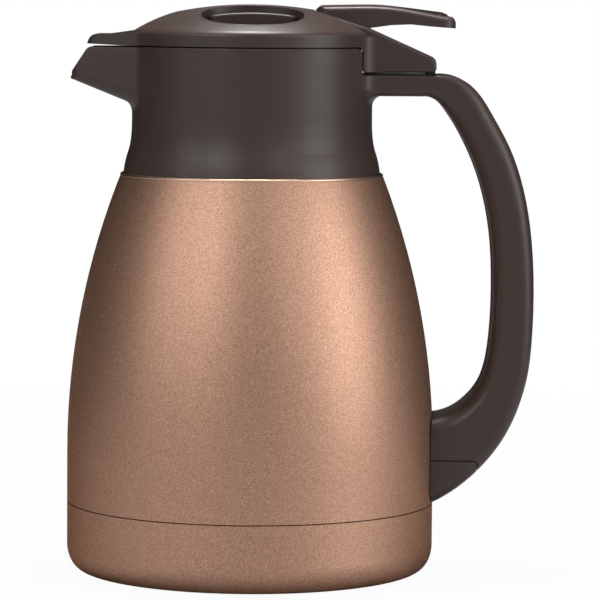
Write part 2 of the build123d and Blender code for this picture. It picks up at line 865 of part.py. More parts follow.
# the strip runs along the straighter stretch of the finger side
strip_stations = [
    (outer, finger) for outer, finger in zip(outer_points, finger_points)
    if foot_seam_height + strip_bottom_rise < finger.Y < arm_top - strip_top_drop
]


def grip_line(depth):
    """Draw the line that runs along the grip at a depth under its finger side."""
    return Spline(*[finger + (outer - finger).normalized() * depth for outer, finger in strip_stations])


def grip_band(shallow, deep):
    """Draw the closed band between two depths under the grip's finger side."""
    near = grip_line(shallow)
    far = grip_line(deep)
    Line(near @ 0, far @ 0)
    Line(near @ 1, far @ 1)


# the grip's foot is a piece of its own, under a level seam that turns down near the outside
with BuildSketch(Plane.XZ) as foot_side:
    with Locations((foot_seam_x, foot_seam_height)):
        Rectangle(far_away, far_away, align=(Align.MAX, Align.MAX))
    fillet(nearest(foot_side, foot_seam_x, foot_seam_height), foot_seam_round)

with BuildPart() as collar_handle:
    with BuildSketch(Plane.XZ) as profile:
        with BuildLine():
            Line((0, collar_bottom), (collar_flare_radius, collar_bottom))
            ThreePointArc(
                (collar_flare_radius, collar_bottom),
                (collar_flare_mid_radius, collar_flare_mid_height),
                (collar_crease_radius, collar_crease_height),
            )
            Spline(
                (collar_crease_radius, collar_crease_height),
                (collar_radius, collar_neck_height),
                tangents=((-collar_crease_slope, 1), (0, 1)),
            )
            Polyline(
                (collar_radius, collar_neck_height), (collar_radius, collar_top), (0, collar_top),
                (0, collar_bottom),
            )
        make_face()
    revolve(axis=Axis.Z)
    add(arm_form.part)
    add(grip_form.part)
    # the arm's root is where its underside meets the collar
    root_edges = (
        collar_handle.edges()
        .filter_by_position(Axis.X, collar_radius - arm_root_reach, collar_radius)
        .filter_by_position(Axis.Z, arm_underside, arm_underside + arm_under_round)
        .filter_by_position(Axis.Y, -arm_half_width, arm_half_width)
    )
    fillet(root_edges, arm_root_round)
    add(spout_form.part)
    # the spout's root is where its sides and underside meet the collar
    spout_root = [
        edge for edge in collar_handle.edges()
        if abs(hypot((edge @ 0.5).X, (edge @ 0.5).Y) - collar_radius) < press_clearance
        and (edge @ 0.5).X < -spout_plan_start
        and collar_neck_height + press_clearance < (edge @ 0.5).Z < collar_top - press_clearance
    ]
    fillet(spout_root, spout_root_round)
    rim = collar_handle.edges().filter_by_position(Axis.Z, collar_top, collar_top)
    fillet(rim, collar_top_round)
    # room for the body's wall
    with BuildSketch():
        Circle(body_radius + body_clearance)
    extrude(amount=body_top, mode=Mode.SUBTRACT)
    # room for the foot cover, with its seam gap
    with BuildSketch(Plane.XZ):
        add(foot_side.sketch)
        offset(amount=foot_seam_gap)
    extrude(amount=far_away, both=True, mode=Mode.SUBTRACT)
    # the bore round the neck, the deck's hole and the well above the deck
    with BuildSketch(Plane.XZ):
        with BuildLine():
            Polyline(
                (0, collar_bottom),
                (skirt_bore, collar_bottom),
                (collar_bore, skirt_cone_height),
                (collar_bore, deck_underside),
                (deck_hole_radius, deck_underside),
                (deck_hole_radius, deck_height),
                (collar_bore, deck_height),
                (collar_bore, collar_top),
                (0, collar_top),
                close=True,
            )
        make_face()
    revolve(axis=Axis.Z, mode=Mode.SUBTRACT)
    # the spout's channel
    with BuildSketch(Plane.XY.offset(deck_height)):
        with BuildLine():
            spout_outline(spout_lip_x - channel_overrun, spout_wall)
        make_face()
    channel = extrude(amount=collar_top - deck_height, mode=Mode.PRIVATE)
    with BuildSketch(Plane.XZ):
        with BuildLine():
            Polyline(
                (-deck_hole_radius, deck_height),
                (spout_lip_x, channel_end_height),
                (spout_lip_x - channel_overrun, channel_end_height),
                (spout_lip_x - channel_overrun, collar_top),
                (-deck_hole_radius, collar_top),
                close=True,
            )
        make_face()
    channel = channel & extrude(amount=far_away, both=True, mode=Mode.PRIVATE)
    add(channel, mode=Mode.SUBTRACT)
    # the tail's seat: the rear wall is cut down to the arm
    with BuildSketch(Plane.XZ) as seat:
        with BuildLine():
            seat_x = tail_front_x - tail_seam_gap
            Polyline(
                (seat_x, arm_top), (seat_x, collar_top), (mouth_radius, collar_top),
                (mouth_radius, collar_top + lid_seam_gap), (far_away * 2, collar_top + lid_seam_gap),
                (far_away * 2, arm_top), close=True,
            )
        make_face()
        fillet(nearest(seat, seat_x, collar_top), notch_round)
    extrude(amount=far_away, both=True, mode=Mode.SUBTRACT)
    # the hinge lug with its knuckle and bore
    with BuildSketch(Plane.XZ):
        with Locations((hinge_x, hinge_height)):
            Circle(knuckle_radius)
            Rectangle(
                2 * knuckle_radius, hinge_rise + hinge_lug_root, align=(Align.CENTER, Align.MAX)
            )
    extrude(amount=knuckle_half_width, both=True)
    with BuildSketch(Plane.XZ):
        with Locations((hinge_x, hinge_height)):
            Circle(hinge_pin_radius + running_clearance)
    extrude(amount=knuckle_half_width, both=True, mode=Mode.SUBTRACT)
    # the catch beads for the lid's hooks
    with BuildSketch(Plane.XY.offset(catch_height)):
        Circle(collar_bore + catch_root)
        Circle(collar_bore - catch_depth, mode=Mode.SUBTRACT)
        Rectangle(2 * catch_half_width, 2 * far_away, mode=Mode.INTERSECT)
    extrude(amount=catch_thickness)
    # the hollow of the grip, with the rebate that its strip lies in
    with BuildSketch(Plane.XZ):
        with BuildLine():
            grip_band(-strip_thickness, strip_recess + strip_thickness + press_clearance)
        make_face()
    extrude(amount=strip_half_width + press_clearance, both=True, mode=Mode.SUBTRACT)
    with BuildSketch(Plane.XZ):
        with BuildLine():
            grip_band(strip_recess + strip_thickness / 2, hollow_depth)
        make_face()
    extrude(amount=hollow_half_width, both=True, mode=Mode.SUBTRACT)
    # the pocket for the bracket's tab and the screw's pilot hole
    with BuildSketch(Plane.XY.offset(foot_seam_height)):
        with Locations((vessel_radius, 0)):
            Rectangle(
                bracket_reach + pocket_clearance - vessel_radius,
                2 * (bracket_half_width + pocket_clearance),
                align=(Align.MIN, Align.CENTER),
            )
    extrude(amount=bracket_top + pocket_clearance - foot_seam_height, mode=Mode.SUBTRACT)
    with BuildSketch(Plane.XY.offset(bracket_top)):
        with Locations((handle_screw_x, 0)):
            Circle(handle_screw_radius + press_clearance)
    extrude(amount=handle_screw_length, mode=Mode.SUBTRACT)
collar_handle.part.label = "collar_handle"
export_step(collar_handle.part, "parts/collar_handle.step")

with BuildPart() as grip_strip:
    with BuildSketch(Plane.XZ):
        with BuildLine():
            grip_band(strip_recess, strip_recess + strip_thickness)
        make_face()
    extrude(amount=strip_half_width, both=True)
grip_strip.part.label = "grip_strip"
export_step(grip_strip.part, "parts/grip_strip.step")

with BuildPart() as handle_foot:
    add(grip_form.part)
    with BuildSketch():
        Circle(body_radius + body_clearance)
    extrude(amount=body_top, mode=Mode.SUBTRACT)
    with BuildSketch(Plane.XZ):
        add(foot_side.sketch)
    extrude(amount=far_away, both=True, mode=Mode.INTERSECT)
    with BuildSketch(Plane.XY.offset(foot_cavity_floor)):
        with Locations((vessel_radius, 0)):
            Rectangle(
                body_radius + foot_cavity_length - vessel_radius, 2 * foot_cavity_half_width,
                align=(Align.MIN, Align.CENTER),
            )
    extrude(amount=foot_seam_height - foot_cavity_floor, mode=Mode.SUBTRACT)
handle_foot.part.label = "handle_foot"
export_step(handle_foot.part, "parts/handle_foot.step")

with BuildPart() as handle_bracket:
    with BuildSketch(Plane.XY.offset(bracket_bottom)) as strap:
        Circle(body_radius + press_clearance + bracket_thickness)
        Circle(body_radius + press_clearance, mode=Mode.SUBTRACT)
        with Locations((body_radius, 0)):
            Rectangle(far_away, 2 * bracket_half_width, mode=Mode.INTERSECT)
    extrude(amount=bracket_top - bracket_bottom)
    with BuildSketch(Plane.XY.offset(bracket_top - bracket_thickness)):
        with Locations((body_radius, 0)):
            Rectangle(
                bracket_reach - body_radius, 2 * bracket_half_width, align=(Align.MIN, Align.CENTER)
            )
        Circle(body_radius + press_clearance + bracket_thickness / 2, mode=Mode.SUBTRACT)
        with Locations((handle_screw_x, 0)):
            Circle(handle_screw_radius + pocket_clearance, mode=Mode.SUBTRACT)
    extrude(amount=bracket_thickness)
handle_bracket.part.label = "handle_bracket"
export_step(handle_bracket.part, "parts/handle_bracket.step")

with BuildPart() as handle_screw:
    head_top = bracket_top - bracket_thickness
    with BuildSketch(Plane.XY.offset(head_top - handle_head_height)):
        with Locations((handle_screw_x, 0)):
            Circle(handle_head_radius)
    extrude(amount=handle_head_height)
    with BuildSketch(Plane.XY.offset(head_top)):
        with Locations((handle_screw_x, 0)):
            Circle(handle_screw_radius)
    extrude(amount=handle_screw_length)
    with BuildSketch(Plane.XY.offset(head_top - handle_head_height)):
        with Locations((handle_screw_x, 0)):
            RegularPolygon(handle_screw_radius, 6)
    extrude(amount=socket_depth, mode=Mode.SUBTRACT)
handle_screw.part.label = "handle_screw"
export_step(handle_screw.part, "parts/handle_screw.step")

# ---------------------------------------------------------------- lid cover
def dome_at(radius, inset=0.0):
    """Height of the lid's top at a distance from the axis, measured inset under the surface."""
    return dome_height - dome_arc_radius + sqrt((dome_arc_radius - inset) ** 2 - radius**2)


def dome_arc(inset=0.0):
    """Draw the flat cap of the lid from its break to the axis."""
    radii = (dome_break_radius, dome_break_radius / 2, 0)
    return ThreePointArc(*[(radius, dome_at(radius, inset)) for radius in radii])


with BuildPart() as beak_form:
    with BuildSketch(Plane.XY.offset(lid_bottom)) as plan:
        with BuildLine():
            spout_outline(beak_tip_x)
        make_face()
        fillet(plan.vertices().group_by(Axis.X)[0], spout_tip_round)
    extrude(amount=beak_root_height - lid_bottom)
    with BuildSketch(Plane.XZ) as side:
        with BuildLine():
            Polyline(
                (-spout_plan_start, lid_bottom), (-web_reach, lid_bottom), (beak_tip_x, beak_tip_height),
                (beak_edge_x, beak_top), (beak_bend_x, beak_top), (beak_root_x, beak_root_height),
                (-spout_plan_start, beak_root_height), close=True,
            )
        make_face()
        fillet(nearest(side, beak_edge_x, beak_top), beak_edge_round)
    extrude(amount=far_away, both=True, mode=Mode.INTERSECT)

with BuildSketch(Plane.XZ) as tail_side:
    with BuildLine():
        Polyline(
            (tail_start_x, lid_bottom), (tail_front_x, lid_bottom), (tail_front_x, tail_bottom),
            (tail_end_x, tail_bottom), (tail_end_x, tail_end_height), (tail_bend_x, tail_bend_height),
            (tail_start_x, tail_start_height), close=True,
        )
    make_face()
    fillet(nearest(tail_side, tail_front_x, lid_bottom), notch_round)
    fillet(nearest(tail_side, tail_end_x, tail_bottom), tail_bottom_round)
    fillet(nearest(tail_side, tail_end_x, tail_end_height), tail_top_round)
    fillet(nearest(tail_side, tail_bend_x, tail_bend_height), tail_bend_round)

with BuildPart() as tail_form:
    with BuildSketch(Plane.XZ):
        add(tail_side.sketch)
    extrude(amount=arm_half_width, both=True)
    sloping_up = tail_form.faces().filter_by(lambda face: face.normal_at().Z > upward_limit)
    top_faces = sloping_up.filter_by(lambda face: face.center().Z > tail_end_height)
    fillet(top_faces.edges().filter_by(Axis.Y, reverse=True), tail_side_round)

with BuildPart() as tail_web:
    with BuildSketch(Plane.XY.offset(tail_bottom)):
        add(arm_plan.sketch)
        Rectangle(2 * web_reach, 2 * far_away, mode=Mode.INTERSECT)
    extrude(amount=web_top - tail_bottom)
    with BuildSketch(Plane.XZ):
        add(tail_side.sketch)
    extrude(amount=far_away, both=True, mode=Mode.INTERSECT)

with BuildPart() as lid_cover:
    cone_shift = cover_wall * sin(radians(cone_angle))
    cone_drop = cover_wall * cos(radians(cone_angle))
    with BuildSketch(Plane.XZ) as profile:
        with BuildLine():
            Polyline(
                (0, dome_height), (0, lid_bottom), (collar_radius, lid_bottom), (collar_radius, skirt_height),
                (cone_edge_radius, cone_edge_height),
            )
            ThreePointArc(
                (cone_edge_radius, cone_edge_height),
                (cone_mid_radius, cone_mid_height),
                (dome_break_radius, dome_at(dome_break_radius)),
            )
            dome_arc()
        make_face()
        fillet(nearest(profile, collar_radius, skirt_height), skirt_round)
    dome = revolve(axis=Axis.Z)
    with BuildSketch(Plane.XY.offset(lid_bottom)):
        add(beak_plan.sketch)
        Rectangle(2 * web_reach, 2 * far_away, mode=Mode.INTERSECT)
    extrude(amount=web_top - lid_bottom)
    add(beak_form.part)
    add(tail_form.part)
    add(tail_web.part)
    # the hollow under the dome
    with BuildSketch(Plane.XZ):
        with BuildLine():
            Polyline(
                (0, dome_at(0, cover_wall)), (0, lid_base_top),
                (lid_base_radius + side_clearance, lid_base_top),
                (lid_base_radius + side_clearance, lid_bottom), (collar_bore, lid_bottom),
                (collar_bore, cone_edge_height - cone_drop),
            )
            ThreePointArc(
                (collar_bore, cone_edge_height - cone_drop),
                (cone_mid_radius - cone_shift, cone_mid_height - cone_drop),
                (dome_break_radius, dome_at(dome_break_radius, cover_wall)),
            )
            dome_arc(cover_wall)
        make_face()
    revolve(axis=Axis.Z, mode=Mode.SUBTRACT)
    # the hollow of the tail
    with BuildSketch(Plane.XZ):
        with BuildLine():
            slope = (tail_end_height - tail_bend_height) / (tail_end_x - tail_bend_x)
            front = tail_front_x + tail_wall
            Polyline(
                (front, tail_bottom), (tail_cavity_end, tail_bottom),
                (tail_cavity_end, tail_bend_height + slope * (tail_cavity_end - tail_bend_x) - tail_wall),
                (front, tail_bend_height + slope * (front - tail_bend_x) - tail_wall), close=True,
            )
        make_face()
    extrude(amount=arm_half_width - tail_wall, both=True, mode=Mode.SUBTRACT)
    # the cups of the two button wells, the screw bosses, and their openings
    with BuildSketch(Plane.XY.offset(well_floor - well_wall)):
        with Locations((well_centre_x, well_centre_y), (well_centre_x, -well_centre_y)):
            Ellipse(well_half_length + well_wall, well_half_width + well_wall)
    cups = extrude(amount=dome_height - well_floor + well_wall, mode=Mode.PRIVATE)
    with BuildSketch(Plane.XY.offset(lid_base_top)):
        with Locations(*boss_places):
            Circle(boss_radius)
    bosses = extrude(amount=dome_height - lid_base_top, mode=Mode.PRIVATE)
    add(cups & dome)
    add(bosses & dome)
    with BuildSketch(Plane.XY.offset(well_floor)):
        with Locations((well_centre_x, well_centre_y), (well_centre_x, -well_centre_y)):
            Ellipse(well_half_length, well_half_width)
    extrude(amount=dome_height - well_floor, mode=Mode.SUBTRACT)
    with BuildSketch(Plane.XY.offset(lid_bottom)):
        for side in (1, -1):
            with Locations((well_centre_x, side * leg_slot_centre)):
                Rectangle(2 * (hook_half_width + guide_gap), leg_slot_width)
    extrude(amount=well_floor - lid_bottom, mode=Mode.SUBTRACT)
    with BuildSketch(Plane.XY.offset(lid_base_top)):
        with Locations(*boss_places):
            Circle(lid_screw_radius + press_clearance)
    extrude(amount=lid_screw_length, mode=Mode.SUBTRACT)
    # the lever's slot, the knuckle's slot and the hinge pin's hole, open at one side
    with BuildSketch(Plane.XY.offset(lever_slot_floor)) as slot:
        with BuildLine():
            Polyline(
                (lever_front_x - lever_slot_gap, slot_half_width), (lever_slot_end, slot_half_width),
                (lever_slot_end, -slot_half_width), (lever_front_x - lever_slot_gap, -slot_half_width),
                close=True,
            )
        make_face()
        fillet(slot.vertices().group_by(Axis.X)[0], lever_plan_round + lever_slot_gap)
    extrude(amount=dome_height - lever_slot_floor, mode=Mode.SUBTRACT)
    with BuildSketch(Plane.XY.offset(tail_bottom)):
        with Locations((hinge_slot_x, 0)):
            Rectangle(
                far_away, 2 * (knuckle_half_width + side_clearance), align=(Align.MIN, Align.CENTER)
            )
    extrude(amount=dome_height - tail_bottom, mode=Mode.SUBTRACT)
    with BuildSketch(Plane.XZ.offset(hinge_pin_length / 2)):
        with Locations((hinge_x, hinge_height)):
            Circle(hinge_pin_radius + pin_clearance)
    extrude(amount=-hinge_pin_length / 2 - arm_half_width, mode=Mode.SUBTRACT)
lid_cover.part.label = "lid_cover"
export_step(lid_cover.part, "parts/lid_cover.step")

# ---------------------------------------------------------------- under the lid
with BuildPart() as lid_base:
    with BuildSketch(Plane.XY.offset(lid_base_bottom)):
        Circle(lid_base_radius)
    extrude(amount=lid_base_thickness)
    with BuildSketch(Plane.XY.offset(lid_base_top)):
        Circle(lid_base_radius)
        Circle(lid_base_radius - rim_width, mode=Mode.SUBTRACT)
    extrude(amount=rim_top - lid_base_top)
    # the spigot that the stopper is pressed on
    with BuildSketch(Plane.XY.offset(lid_base_bottom - spigot_height)):
        Circle(spigot_radius)
        Circle(spigot_radius - spigot_wall, mode=Mode.SUBTRACT)
    extrude(amount=spigot_height)
    # the posts that carry the lever's pin
    with BuildSketch(Plane.XY.offset(lid_base_top)):
        for side in (1, -1):
            with Locations((lever_pivot_x, side * (post_inner + post_outer) / 2)):
                Rectangle(2 * post_half_length, post_outer - post_inner)
    extrude(amount=post_top - lid_base_top)
    with BuildSketch(Plane.XZ):
        with Locations((lever_pivot_x, lever_pivot_height)):
            Circle(lever_pin_radius + pin_clearance)
    extrude(amount=post_outer, both=True, mode=Mode.SUBTRACT)
    # the stem's hole with its seal's seat, the screws' holes and the notches for the hooks
    with BuildSketch(Plane.XY.offset(lid_base_bottom)):
        Circle(stem_radius + stem_clearance)
        with Locations(*boss_places):
            Circle(lid_screw_radius + screw_clearance)
    extrude(amount=lid_base_thickness, mode=Mode.SUBTRACT)
    with BuildSketch(Plane.XY.offset(lid_base_bottom)):
        Circle(stem_seal_radius)
        with Locations(*boss_places):
            Circle(lid_head_radius + screw_clearance)
    extrude(amount=lid_head_recess, mode=Mode.SUBTRACT)
    with BuildSketch(Plane.XY.offset(lid_base_bottom)):
        for side in (1, -1):
            with Locations((well_centre_x, side * lid_base_radius)):
                Rectangle(2 * (hook_half_width + guide_gap), 2 * notch_depth)
    extrude(amount=rim_top - lid_base_bottom, mode=Mode.SUBTRACT)
lid_base.part.label = "lid_base"
export_step(lid_base.part, "parts/lid_base.step")

with BuildPart() as lid_screws:
    head_floor = lid_base_bottom + lid_head_recess - lid_head_height
    with BuildSketch(Plane.XY.offset(head_floor)):
        with Locations(*boss_places):
            Circle(lid_head_radius)
    extrude(amount=lid_head_height)
    with BuildSketch(Plane.XY.offset(head_floor + lid_head_height)):
        with Locations(*boss_places):
            Circle(lid_screw_radius)
    extrude(amount=lid_screw_length)
    with BuildSketch(Plane.XY.offset(head_floor)):
        with Locations(*boss_places):
            RegularPolygon(lid_screw_radius, 6)
    extrude(amount=lid_head_height / 2, mode=Mode.SUBTRACT)
lid_screws.part.label = "lid_screws"
export_step(lid_screws.part, "parts/lid_screws.step")

with BuildPart() as hinge_pin:
    with BuildSketch(Plane.XZ):
        with Locations((hinge_x, hinge_height)):
            Circle(hinge_pin_radius)
    extrude(amount=hinge_pin_length / 2 - pin_clearance, both=True)
hinge_pin.part.label = "hinge_pin"
export_step(hinge_pin.part, "parts/hinge_pin.step")

with BuildPart() as lever_pin:
    with BuildSketch(Plane.XZ):
        with Locations((lever_pivot_x, lever_pivot_height)):
            Circle(lever_pin_radius)
    extrude(amount=lever_pin_half_length, both=True)
lever_pin.part.label = "lever_pin"
export_step(lever_pin.part, "parts/lever_pin.step")

# ---------------------------------------------------------------- stopper and valve
with BuildPart() as stopper_plug:
    with BuildSketch(Plane.XZ):
        with BuildLine():
            Polyline(
                (seat_radius, plug_bottom),
                (plug_bottom_radius, plug_bottom),
                (plug_radius, plug_shoulder),
                (plug_radius, plug_flange_bottom),
                (plug_flange_radius, plug_flange_bottom),
                (plug_flange_radius, plug_flange_bottom + plug_flange_thickness),
                (plug_radius, plug_flange_bottom + plug_flange_thickness),
                (plug_radius, lid_base_bottom),
                (plug_radius - plug_wall, lid_base_bottom),
                (plug_radius - plug_wall, plug_shoulder),
                (plug_bottom_radius - plug_wall, plug_bottom + plug_wall),
                (seat_radius, plug_bottom + plug_wall),
                close=True,
            )
        make_face()
    revolve(axis=Axis.Z)
    with BuildSketch(Plane.XY.offset(window_bottom)):
        with Locations((-plug_radius, 0)):
            Rectangle(2 * seat_radius, 2 * window_half_width)
    extrude(amount=window_top - window_bottom, mode=Mode.SUBTRACT)
stopper_plug.part.label = "stopper_plug"
export_step(stopper_plug.part, "parts/stopper_plug.step")

with BuildPart() as stopper_gasket:
    with BuildSketch(Plane.XY.offset(deck_height + gasket_gap)):
        Circle(stopper_gasket_radius)
        Circle(plug_radius + press_clearance, mode=Mode.SUBTRACT)
    extrude(amount=plug_flange_bottom - press_clearance - deck_height - gasket_gap)
stopper_gasket.part.label = "stopper_gasket"
export_step(stopper_gasket.part, "parts/stopper_gasket.step")

with BuildPart() as valve_stem:
    with BuildSketch(Plane.XY.offset(valve_disc_bottom)):
        Circle(valve_radius)
    extrude(amount=valve_disc_thickness)
    with BuildSketch(Plane.XY.offset(valve_disc_bottom - valve_boss_height)):
        Circle(valve_boss_radius)
    extrude(amount=valve_boss_height)
    with BuildSketch(Plane.XY.offset(valve_disc_top)):
        Circle(spring_seat_radius)
    extrude(amount=spring_seat_height)
    with BuildSketch(Plane.XY.offset(valve_disc_top)):
        Circle(stem_radius)
    extrude(amount=stem_top - valve_disc_top)
valve_stem.part.label = "valve_stem"
export_step(valve_stem.part, "parts/valve_stem.step")

with BuildPart() as valve_gasket:
    with BuildSketch(Plane.XY.offset(valve_disc_bottom - valve_gasket_thickness)):
        Circle(valve_radius - valve_gasket_gap)
        Circle(valve_boss_radius + press_clearance, mode=Mode.SUBTRACT)
    extrude(amount=valve_gasket_thickness)
valve_gasket.part.label = "valve_gasket"
export_step(valve_gasket.part, "parts/valve_gasket.step")

with BuildPart() as stem_clip:
    with BuildSketch(Plane.XY.offset(clip_bottom)):
        Circle(clip_radius)
        Circle(stem_radius + press_clearance, mode=Mode.SUBTRACT)
    extrude(amount=clip_thickness)
stem_clip.part.label = "stem_clip"
export_step(stem_clip.part, "parts/stem_clip.step")

with BuildPart() as stem_seal:
    with BuildSketch(Plane.XY.offset(lid_base_bottom)):
        Circle(stem_seal_radius - press_clearance)
        Circle(stem_radius + stem_clearance, mode=Mode.SUBTRACT)
    extrude(amount=stem_seal_height)
stem_seal.part.label = "stem_seal"
export_step(stem_seal.part, "parts/stem_seal.step")

with BuildPart() as valve_spring:
    with BuildLine() as coil:
        Helix(
            pitch=valve_spring_pitch,
            height=lid_base_bottom - valve_disc_top - 2 * (valve_spring_wire + press_clearance),
            radius=valve_spring_radius,
            center=(0, 0, valve_disc_top + valve_spring_wire + press_clearance),
        )
    with BuildSketch(Plane(origin=coil.line @ 0, z_dir=coil.line % 0)):
        Circle(valve_spring_wire)
    sweep(is_frenet=True)
valve_spring.part.label = "valve_spring"
export_step(valve_spring.part, "parts/valve_spring.step")

# ---------------------------------------------------------------- pouring lever
with BuildPart() as pour_lever:
    # a crowned bar lofted through its cross-sections
    for x, height in lever_top_line:
        with BuildSketch(Plane.YZ.offset(x)) as section:
            with BuildLine():
                Polyline(
                    (-lever_half_width, height - lever_crown),
                    (-lever_half_width, lever_pivot_height),
                    (lever_half_width, lever_pivot_height),
                    (lever_half_width, height - lever_crown),
                )
                ThreePointArc(
                    (lever_half_width, height - lever_crown),
                    (0, height),
                    (-lever_half_width, height - lever_crown),
                )
            make_face()
            fillet(section.vertices().group_by(Axis.Y)[-1], lever_edge_round)
    loft()
    # its front, rear and underside seen from the side, and its rounded corners in plan
    with BuildSketch(Plane.XZ):
        with BuildLine():
            Polyline(
                *lever_bottom_line,
                (lever_bottom_line[-1][0] - lever_slot_gap, lever_skirt_rear),
                (lever_hollow_line[0][0], lever_skirt_front), (lever_front_x, lever_nose_bottom),
                (lever_front_x, lever_nose_top),
                (lever_front_x + lever_bevel_length, dome_height + lever_bevel_rise),
                (lever_end_x - lever_bevel_length, dome_height + lever_bevel_rise),
                (lever_end_x, lever_end_shoulder), close=True,
            )
        make_face()
    extrude(amount=lever_half_width, both=True, mode=Mode.INTERSECT)
    with BuildSketch(Plane.XY.offset(lever_pivot_height - far_away)) as plan:
        with Locations((lever_front_x, 0)):
            Rectangle(
                lever_end_x - lever_front_x, 2 * lever_half_width, align=(Align.MIN, Align.CENTER)
            )
        fillet(plan.vertices(), lever_plan_round)
    extrude(amount=2 * far_away, mode=Mode.INTERSECT)
    # the hollow underneath
    with BuildSketch(Plane.XZ):
        with BuildLine():
            Polyline(
                *lever_hollow_line, (lever_hollow_line[-1][0], lever_pivot_height - lever_half_width),
                (lever_hollow_line[0][0], lever_pivot_height - lever_half_width), close=True,
            )
        make_face()
    extrude(amount=lever_half_width - lever_side_wall, both=True, mode=Mode.SUBTRACT)
    # the ears on the pin, and the arm that lifts the valve's stem
    for side in (1, -1):
        with BuildSketch(Plane.XZ.offset(side * lever_pin_half_length)):
            with Locations((lever_pivot_x, lever_pivot_height)):
                Circle(ear_radius)
                Rectangle(2 * ear_radius, ear_top - lever_pivot_height, align=(Align.CENTER, Align.MIN))
        extrude(amount=-side * ear_thickness)
    with BuildSketch(Plane.XZ):
        with BuildLine():
            Polyline(
                (0, lever_arm_bottom),
                (lever_pivot_x + ear_radius, lever_arm_bottom),
                (lever_pivot_x + ear_radius, ear_top),
                (lever_pivot_x - ear_radius, ear_top),
                (lever_pivot_x - ear_radius, lever_arm_top),
                (0, lever_arm_top),
                close=True,
            )
        make_face()
    extrude(amount=lever_arm_half_width, both=True)
    with BuildSketch(Plane.XY.offset(lever_arm_bottom)):
        Circle(lever_eye_radius)
    extrude(amount=lever_arm_top - lever_arm_bottom)
    with BuildSketch(Plane.XY.offset(lever_arm_bottom)):
        Circle(lever_eye_hole)
    extrude(amount=lever_arm_top - lever_arm_bottom, mode=Mode.SUBTRACT)
    with BuildSketch(Plane.XZ):
        with Locations((lever_pivot_x, lever_pivot_height)):
            Circle(lever_pin_radius + running_clearance)
    extrude(amount=lever_pin_half_length, both=True, mode=Mode.SUBTRACT)
    # the seat of the thumb pad
    with BuildSketch(Plane.XZ):
        with BuildLine():
            seat_floor = [(x, z - pad_depth - pad_rise) for x, z in pad_top_line]
            Polyline(
                *seat_floor, (pad_top_line[-1][0], dome_height + cover_wall),
                (pad_top_line[0][0], dome_height + cover_wall), close=True,
            )
        make_face()
    seat = extrude(amount=pad_half_width, both=True, mode=Mode.PRIVATE)
    add(seat, mode=Mode.SUBTRACT)
pour_lever.part.label = "pour_lever"
export_step(pour_lever.part, "parts/pour_lever.step")

with BuildPart() as lever_pad:
    with BuildSketch(Plane.XZ):
        with BuildLine():
            pad_front = (pad_top_line[0][0] + press_clearance, pad_top_line[0][1])
            pad_rear = (pad_top_line[-1][0] - press_clearance, pad_top_line[-1][1])
            pad_floor = [(x, z - pad_depth - pad_rise + press_clearance) for x, z in pad_top_line[1:-1]]
            Polyline(
                pad_front, *pad_top_line[1:-1], pad_rear,
                (pad_rear[0], pad_rear[1] - pad_depth - pad_rise + press_clearance),
                *reversed(pad_floor),
                (pad_front[0], pad_front[1] - pad_depth - pad_rise + press_clearance), close=True,
            )
        make_face()
    extrude(amount=pad_half_width - press_clearance, both=True)
lever_pad.part.label = "lever_pad"
export_step(lever_pad.part, "parts/lever_pad.step")

# ---------------------------------------------------------------- release buttons
with BuildPart() as release_button_left:
    with BuildSketch(Plane.XY.offset(bar_bottom)) as plan:
        with Locations((well_centre_x, -bar_centre_y)):
            Rectangle(bar_length, bar_thickness)
        fillet(plan.vertices(), bar_end_round)
    extrude(amount=bar_top - bar_bottom)
    with BuildSketch(Plane.XZ):
        with BuildLine():
            bar_start = well_centre_x - bar_length / 2
            bar_end = well_centre_x + bar_length / 2
            Polyline(
                (bar_start, bar_top - bar_end_drop), (bar_start, bar_bottom), (bar_end, bar_bottom),
                (bar_end, bar_top - bar_end_drop),
            )
            ThreePointArc(
                (bar_end, bar_top - bar_end_drop), (well_centre_x, bar_top),
                (bar_start, bar_top - bar_end_drop),
            )
        make_face()
    extrude(amount=far_away, both=True, mode=Mode.INTERSECT)
    fillet(release_button_left.faces().sort_by(Axis.Z)[-1].edges(), bar_top_round)
    # the leg through the well's floor, the slider over the base and the hook in the collar
    with BuildSketch(Plane.XY.offset(slider_bottom)):
        with Locations((well_centre_x, -leg_outer)):
            Rectangle(2 * hook_half_width, leg_thickness, align=(Align.CENTER, Align.MIN))
    extrude(amount=bar_bottom - slider_bottom)
    with BuildSketch(Plane.XY.offset(slider_bottom)):
        with Locations((well_centre_x, -hook_outer)):
            Rectangle(
                2 * hook_half_width, hook_outer - leg_outer + leg_thickness, align=(Align.CENTER, Align.MIN)
            )
    extrude(amount=slider_top - slider_bottom)
    with BuildSketch(Plane.XY.offset(hook_bottom)):
        with Locations((well_centre_x, -hook_outer)):
            Rectangle(2 * hook_half_width, hook_outer - hook_inner, align=(Align.CENTER, Align.MIN))
    extrude(amount=slider_top - hook_bottom)
    with BuildSketch(Plane.XY.offset(hook_bottom)):
        with Locations((well_centre_x, -toe_outer)):
            Rectangle(2 * hook_half_width, toe_outer - hook_inner, align=(Align.CENTER, Align.MIN))
    extrude(amount=catch_height - catch_gap - hook_bottom)
release_button_left.part.label = "release_button_left"
export_step(release_button_left.part, "parts/release_button_left.step")

with BuildPart() as release_button_right:
    add(mirror(release_button_left.part, about=Plane.XZ, mode=Mode.PRIVATE))
release_button_right.part.label = "release_button_right"
export_step(release_button_right.part, "parts/release_button_right.step")

